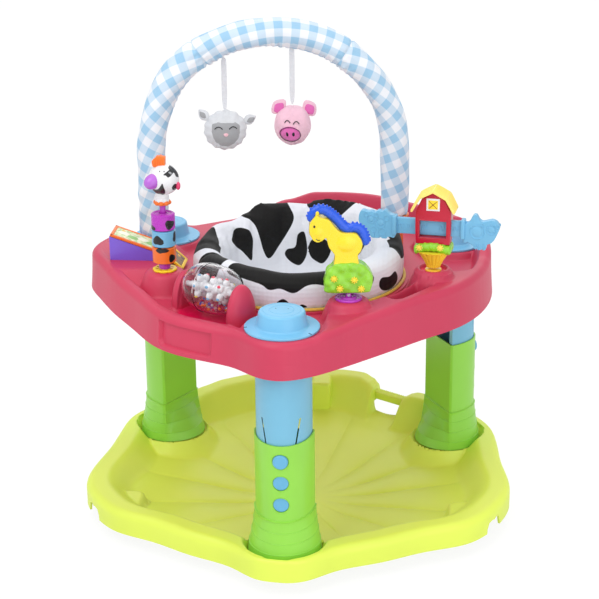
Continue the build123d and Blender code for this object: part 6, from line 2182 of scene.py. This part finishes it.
class BuildBarn(bpy.types.Operator):
    """Builds the barn on its fluted cone, with leaves, roof, window and the sliding bar"""
    bl_idname = "jumper.barn"
    bl_label = "Barn"

    def execute(self, context):
        self.settings = context.scene.jumper_barn
        colour = colours()
        centre = middle("barn_pot")
        self.centre = centre
        self.place = standing(centre, BARN_TURN)
        self.cone(plastic("cone_yellow", linear(250, 214, 60), 0.3))
        self.leaves(colour)
        self.walls(plastic("barn_red", colour.red, 0.3, Coat_Weight=0.2))
        self.roof(plastic("roof_cream", colour.cream, 0.34))
        self.window(colour)
        self.bar(plastic("bar_blue", colour.blue, 0.34, variation=0.03))
        return {"FINISHED"}

    def cone(self, material):
        """A fluted cone that opens upwards, like a tied sheaf."""
        bottom, top = low("barn_pot").z, high("barn_pot").z
        flutes, rings = 18, 10
        steps = flutes * 8

        def place(row, theta):
            share = np.clip(row / rings, 0, 1)
            radius = 10.6 + 13.8 * share ** 1.35
            ridge = 1.9 * np.abs(np.cos(theta * flutes / 2)) ** 0.7 * (0.35 + share)
            lip = 0.8 * np.exp(-((share - 1) / 0.07) ** 2)
            radius = np.where(row > rings, 0.0, radius + ridge - 0.6 + lip)
            radius = np.where(row == rings + 1, 18.0, np.where(row == rings + 2, 0.0, radius))
            height = bottom + self.settings.cone_lift + (top + 5 - bottom - self.settings.cone_lift) * share
            return turned_points(radius, theta, height, self.centre)

        cone = spun_rows("sheaf", rings + 3, steps, place)
        edit(cone, False)
        bpy.ops.mesh.select_all(action="DESELECT")
        bpy.ops.mesh.select_non_manifold()
        bpy.ops.mesh.edge_face_add()
        done()
        band = lathe("sheaf_band", [(0, bottom + 0.5), (12.3, bottom + 0.5), (12.9, bottom + 2),
                                    (12.3, bottom + 3.6), (0, bottom + 3.6)], self.centre, 64, rounding=0.6)
        keep(smooth(join("sheaf", [cone, band]), 50), "tray", material, "toy_yellow", ["barn_pot"])

    def leaves(self, colour):
        lumps = []
        top = high("barn_leaves").z
        for k in range(12):
            x = -24.8 + 4.5 * k
            lift = 5.5 * math.cos(x / 17) - 2.5
            for side in (-1, 0, 1):
                lumps.append(ellipsoid(f"leaf_{k}_{side}", (x, 459.5 + lift + (k % 2) * 1.2, side * 9.5),
                                       (4.4, 8.0, 9.4), 20))
        green = melt(join("leaves", lumps), 1.1, rounds=3)
        corners = corners_of(green)
        corners[:, 1] = np.minimum(corners[:, 1], top + 3.0)
        place_corners(green, corners)
        material = plastic("leaf_green", colour.green, 0.3, variation=0.08, patch=60, Coat_Weight=0.2)
        keep(move(green, self.place), "tray", material, "toy_green", ["barn_leaves"])
        blooms = []
        for k, (x, z) in enumerate(((-19.5, 462), (12.5, 464))):
            for name, out in ((f"leaf_flower_{k}", 17.9), (f"leaf_flower_back_{k}", -17.9)):
                blooms.append(move(flower(name, x, z), Matrix.Translation((0, 0, out))))
        keep(move(join("leaf_flowers", blooms), self.place), "tray",
             plastic("leaf_flower_yellow", linear(246, 222, 90), 0.35),
             "toy_yellow")

    def walls(self, material):
        half, depth = self.settings.half_width, self.settings.depth / 2
        eave, knee, ridge = 518.0, 537.0, 548.0
        outline = [(-half + 1, 467.3), (half - 1, 467.3), (half, 490), (half, eave), (18, knee), (0, ridge),
                   (-18, knee), (-half, eave), (-half, 490)]
        walls = prism("walls", outline, -depth, depth, bevel=1.2, segments=3)
        opening = prism("opening", [(-20.5, 477.6), (20.5, 477.6), (20.5, 504.2), (-20.5, 504.2)], -40, 40,
                        bevel=0)
        cut(walls, opening)
        tunnel = block("tunnel", (-60, 477.6, -4.2), (60, 504.4, 4.2), 0.1, 1)
        cut(walls, tunnel)
        trims = []
        for side in (-1, 1):
            out = side * depth
            frame_points = [(-21.5, 476.6), (21.5, 476.6), (21.5, 505.2), (-21.5, 505.2)]
            for a, b in zip(frame_points, frame_points[1:] + frame_points[:1]):
                trims.append(tube("trim", [(*a, out), ((a[0] + b[0]) / 2, (a[1] + b[1]) / 2, out), (*b, out)],
                                  1.1, 6,
                                  samples=2))
        keep(move(smooth(join("barn_walls", [walls, *trims]), 35), self.place), "tray", material, "barn_red",
             ["barn_body"])

    def roof(self, material):
        """Two broken slopes of thick board that overhang the walls, ribbed along the slope."""
        depth = self.settings.depth / 2 + 6.5
        under = [(-31, 518), (-19.2, 539), (0, 549.2), (19.2, 539), (31, 518)]
        over = [(34.2, 518.6), (22.2, 542), (0, 553.6), (-22.2, 542), (-34.2, 518.6)]
        board = prism("board", under + over, -depth, depth, bevel=1.1, segments=3)
        ribs = []
        slopes = ((-33.2, 520.6, -22.4, 541.7), (-21.4, 542.5, -1, 553.2), (1, 553.2, 21.4, 542.5),
                  (22.4, 541.7, 33.2, 520.6))
        for ax, az, bx, bz in slopes:
            for k in range(9):
                out = -depth + 2.6 + k * (2 * depth - 5.2) / 8
                ribs.append(tube("rib", [(ax, az, out), ((ax + bx) / 2, (az + bz) / 2 + 0.3, out), (bx, bz, out)],
                                 0.8, 6,
                                 samples=2))
        keep(move(smooth(join("roof", [board, *ribs]), 35), self.place), "tray", material, "toy_yellow",
             ["barn_roof"])

    def window(self, colour):
        out = self.settings.depth / 2
        frames, panes, crosses = [], [], []
        centre_z, half = 530.0, 8.6
        for side in (-1, 1):
            outer = block(f"frame_{side}", (-half - 1.6, centre_z - half - 1.0, side * out - 1.0),
                          (half + 1.6, centre_z + half + 1.0, side * out + 1.2), 0.5, 2)
            frames.append(outer)
            face = side * (out + 1.1)
            panes.append(block(f"pane_{side}", (-half + 1.2, centre_z - half + 1.6, face - 0.5),
                               (half - 1.2, centre_z + half - 1.6, face + 0.5), 0.3, 2))
            for a, b in (((-6, -5.6), (6, 5.6)), ((-6, 5.6), (6, -5.6))):
                crosses.append(tube("cross", [(a[0], centre_z + a[1], face + side * 0.5),
                                              (0, centre_z, face + side * 0.5),
                                              (b[0], centre_z + b[1], face + side * 0.5)], 0.55, 6, samples=2))
        keep(move(join("window_frame", frames), self.place), "tray", plastic("frame_white", colour.white, 0.35),
             "toy_white",
             ["barn_window"])
        keep(move(join("window_pane", panes), self.place), "tray",
             plastic("pane_yellow", linear(250, 216, 50), 0.35),
             "toy_yellow")
        keep(move(join("window_cross", crosses), self.place), "tray",
             plastic("cross_brown", linear(150, 106, 30), 0.5),
             "toy_yellow")

    def bar(self, material):
        """The sliding bar with a moulded animal at each end, embossed on both faces."""
        parts = [block("bar", (-64, 478.4, -3.3), (50, 503.6, 3.3), 1.2, 3)]
        for side in (-1, 1):
            for k, x in enumerate((-50, -38, -14, 12, 34)):
                wave = [(x - 4, 486, side * 3.3), (x - 1.5, 494, side * 3.5), (x + 1.5, 488, side * 3.5),
                        (x + 4, 496, side * 3.3)]
                parts.append(tube(f"squiggle_{k}", wave, 0.6, 6, samples=5))
        for x in (-60.5, 44.5):
            parts.append(block("clamp", (x - 3.2, 476.4, -8.4), (x + 3.2, 506.2, 8.4), 1.4, 3))
        for name, outline in (("left", LEFT_FIGURE), ("right", RIGHT_FIGURE)):
            parts.append(prism(f"figure_{name}", rounded(outline, 3), -6, 6, bevel=2.0, segments=3))
        rings = [(-97, 499, 6.5), (-82, 494, 7.5), (-72, 502, 4.5), (-104, 506, 3.6), (-88, 506, 3.2),
                 (-79, 480, 5), (-93, 483, 4.4), (66, 489, 11), (88, 494, 7.5), (91, 494.5, 3.4), (74, 500, 2.6),
                 (97.5, 499, 2.4)]
        for side in (-1, 1):
            for k, (x, z, r) in enumerate(rings):
                ring = [(x + r * math.cos(a), z + r * math.sin(a), side * 6.0)
                        for a in np.linspace(0, 2 * math.pi, 12, endpoint=False)]
                parts.append(tube(f"ring_{k}", ring, 0.8, 6, closed=True, samples=3))
                if r > 6:
                    parts.append(ellipsoid(f"boss_{k}", (x, z, side * 5.6), (r * 0.72, r * 0.72, 1.6), 24))
            for places, (knee, shin, hoof) in (((-92, -84, -76), (477, 473, 470)),
                                               ((65, 70, 77), (470, 466, 462))):
                for k, x in enumerate(places):
                    leg = [(x, knee, side * 5.8), (x, shin, side * 6.2), (x, hoof, side * 5.8)]
                    parts.append(tube(f"leg_{k}", leg, 1.2, 6, samples=3))
        bar = join("bar_blue", parts)
        keep(move(smooth(bar, 45), self.place), "bar", material, "toy_blue", ["animal_bar"])


# ---------------------------------------------------------------- picture book
class BookSettings(bpy.types.PropertyGroup):
    page_thick: length_property("Page thickness", "Thickness of each page", 4.0)
    page_angle: bpy.props.FloatProperty(name="Page angle", description="Rest angle of the orange page, in degrees",
                                        default=161.0)
    flap_angle: bpy.props.FloatProperty(name="Flap angle", description="Rest angle of the yellow page, in degrees",
                                        default=-42.0)


class BuildBook(bpy.types.Operator):
    """Builds the picture book: stand, framed pages with plain generic shapes, hinge"""
    bl_idname = "jumper.book"
    bl_label = "Picture book"

    def execute(self, context):
        self.settings = context.scene.jumper_book
        colour = colours()
        near, far = low("book_pin").y, high("book_pin").y
        self.near, self.width = near, far - near
        pin = middle("book_pin")
        self.pin = pin
        assign(frame["nodes"]["book_stand"], plastic("stand_purple", linear(122, 92, 214), 0.34, Coat_Weight=0.15))
        steel = surface("book_steel", colour.steel, 0.3, Metallic=1.0)[0]
        assign(frame["nodes"]["book_pin"], steel)
        s = self.settings
        self.page("orange", s.page_angle, 92.0, plastic("page_orange", colour.orange, 0.34),
                  linear(232, 232, 196), "orange_page")
        self.page("yellow", s.flap_angle, 38.0, plastic("page_yellow", linear(250, 210, 40), 0.34),
                  linear(150, 128, 104),
                  "yellow_page")
        return {"FINISHED"}

    def page(self, name, angle, length, material, picture, body):
        """A board whose frame stands proud of a plain printed inset; drawn along +X, then turned about the pin."""
        thick = self.settings.page_thick
        near, far = self.near + 0.6, self.near + self.width - 0.6
        start = 5.2
        board = block("board", (start, near, -thick / 2), (length, far, thick / 2 - 0.8), 0.7, 3)
        border = 5.0
        rails = []
        upper = thick / 2
        for low_corner, high_corner in (((start, near), (length, near + border)),
                                        ((start, far - border), (length, far)),
                                        ((start, near), (start + border + 3, far)),
                                        ((length - border, near), (length, far))):
            rails.append(block("rail", (*low_corner, upper - 2.2), (*high_corner, upper), 0.8, 3))
        ribs = []
        for k in range(int((length - start) / 3)):
            x = start + 2 + 3 * k
            ribs.append(tube("rib", [(x, near + 0.1, upper - 0.4), (x, near - 0.25, 0),
                                     (x, near + 0.1, -upper + 0.8)],
                             0.55, 6, samples=2))
        knuckles = [lathe("knuckle", [(1.7, a), (3.9, a), (3.9, b), (1.7, b), (1.7, a)], steps=32, rounding=0.4)
                    for a, b in (self.knuckles(name))]
        flip = Matrix.Rotation(math.radians(-90), 4, "X")
        for knuckle in knuckles:
            move(knuckle, flip)
        side = 1 if name == "yellow" else -1
        face = Matrix.Scale(side, 4, Vector((0, 0, 1)))
        turn = Matrix.Translation((self.pin.x, 0, self.pin.z)) @ Matrix.Rotation(-math.radians(angle), 4, "Y")
        solid = join(f"book_{name}", [board, *rails, *ribs])
        move(solid, face)
        tidy_mesh(solid, 0.001)
        knuckle = join(f"knuckles_{name}", knuckles)
        whole = smooth(join(f"book_{name}", [solid, knuckle]), 35)
        keep(move(whole, turn), body, material, f"toy_{name}", [f"page_{name}"])
        inset = block(f"inset_{name}", (start + border + 3.2, near + border + 0.2, upper - 1.4),
                      (length - border - 0.2, far - border - 0.2, upper - 0.55), 0.2, 2)
        move(inset, turn @ face)
        tidy_mesh(inset, 0.001)
        meadow = linear(176, 206, 150) if name == "orange" else linear(118, 100, 84)
        keep(inset, body, self.print(f"print_{name}", picture, meadow), f"toy_{name}")
        shapes = self.shapes(name, start + border + 8, length - border - 6, near + border + 5, far - border - 5,
                             upper - 0.5)
        for tint_name, tint, shape in shapes:
            move(shape, turn @ face)
            tidy_mesh(shape, 0.001)
            keep(shape, body, plastic(f"print_{name}_{tint_name}", tint, 0.45), f"toy_{name}")

    def knuckles(self, name):
        """Spans of the hinge barrel along the pin; the two pages take turns."""
        step = (self.width - 1.2) / 5
        first = 0 if name == "orange" else 1
        start = self.near + 0.6
        return [(start + step * k + 0.3, start + step * (k + 1) - 0.3) for k in range(first, 5, 2)]

    def shapes(self, name, x0, x1, y0, y1, face):
        """Plain hills and a sun as a generic picture."""
        height = 0.5
        middle_y = (y0 + y1) / 2
        groups = [("green", linear(150, 196, 120), []), ("cream", linear(244, 240, 222), []),
                  ("gold", linear(240, 196, 90), [])]
        span = x1 - x0
        for k in range(4 if name == "orange" else 0):
            x = x0 + span * (k + 0.5) / 4
            groups[k % 2][2].append(ellipsoid(f"hill_{k}", (x, middle_y - 4 + 6 * (k % 2), face),
                                              (span / 9 + 2, 7, height), 24))
        groups[2][2].append(ellipsoid("sun", (x1 - 5, y1 - 3, face), (3, 3, height), 24))
        return [(tint_name, tint, join(f"picture_{name}_{tint_name}", pieces))
                for tint_name, tint, pieces in groups if pieces]

    def print(self, name, colour, meadow):
        """Printed card: soft uneven tints."""
        material, tree, tint = surface(name, colour, 0.5, variation=0.08, patch=70)
        cloud = noise(tree, 160, 4.0)
        second = blended(tree, ranged(tree, cloud, 0.45, 0.6, 0, 1), tint, meadow)
        tree.links.new(second, tree.nodes["Principled BSDF"].inputs["Base Color"])
        return material


# ---------------------------------------------------------------- small carried parts
class BuildHardware(bpy.types.Operator):
    """Finishes the feet, pins, screws and springs that keep their CAD shape"""
    bl_idname = "jumper.hardware"
    bl_label = "Feet, pins and springs"

    def execute(self, context):
        colour = colours()
        steel = surface("hardware_steel", colour.steel, 0.28, Metallic=1.0, grain=1500)[0]
        for name in ("leg_screws", "leg_springs", "stabiliser_pins"):
            assign(frame["nodes"][name], steel)
        rubber = plastic("foot_grey", colour.foot, 0.6, grain=600, grain_depth=0.2)
        for side in ("back", "left", "right"):
            assign(frame["nodes"][f"stabiliser_foot_{side}"], rubber)
        return {"FINISHED"}


# ---------------------------------------------------------------- add-on
GROUPS = {
    "jumper_colours": JumperColours,
    "jumper_stage": StageSettings,
    "jumper_tray": TraySettings,
    "jumper_base": BaseSettings,
    "jumper_posts": PostSettings,
    "jumper_seat": SeatSettings,
    "jumper_arch": ArchSettings,
    "jumper_plush": PlushSettings,
    "jumper_spinner": SpinnerSettings,
    "jumper_barrel": BarrelSettings,
    "jumper_horse": HorseSettings,
    "jumper_barn": BarnSettings,
    "jumper_book": BookSettings,
}
STEPS = [BuildStage, BuildTray, BuildBase, BuildPosts, BuildSeat, BuildArch, BuildPlush, BuildSpinner, BuildBarrel,
         BuildHorse, BuildBarn, BuildBook, BuildHardware]


class JumperPanel(bpy.types.Panel):
    bl_idname = "VIEW3D_PT_jumper"
    bl_label = "Activity jumper"
    bl_space_type = "VIEW_3D"
    bl_region_type = "UI"
    bl_category = "Jumper"

    def draw(self, context):
        for step in STEPS:
            self.layout.operator(step.bl_idname)
        for group in GROUPS:
            box = self.layout.box()
            settings = getattr(context.scene, group)
            for key in settings.__annotations__:
                box.prop(settings, key)


def register():
    for kind in (*GROUPS.values(), *STEPS, JumperPanel):
        bpy.utils.register_class(kind)
    for name, kind in GROUPS.items():
        setattr(bpy.types.Scene, name, bpy.props.PointerProperty(type=kind))


def unregister():
    for name in GROUPS:
        delattr(bpy.types.Scene, name)
    for kind in reversed((*GROUPS.values(), *STEPS, JumperPanel)):
        bpy.utils.unregister_class(kind)


def main():
    register()
    for step in STEPS:
        group, name = step.bl_idname.split(".")
        getattr(getattr(bpy.ops, group), name)()


if __name__ == "__main__":
    main()
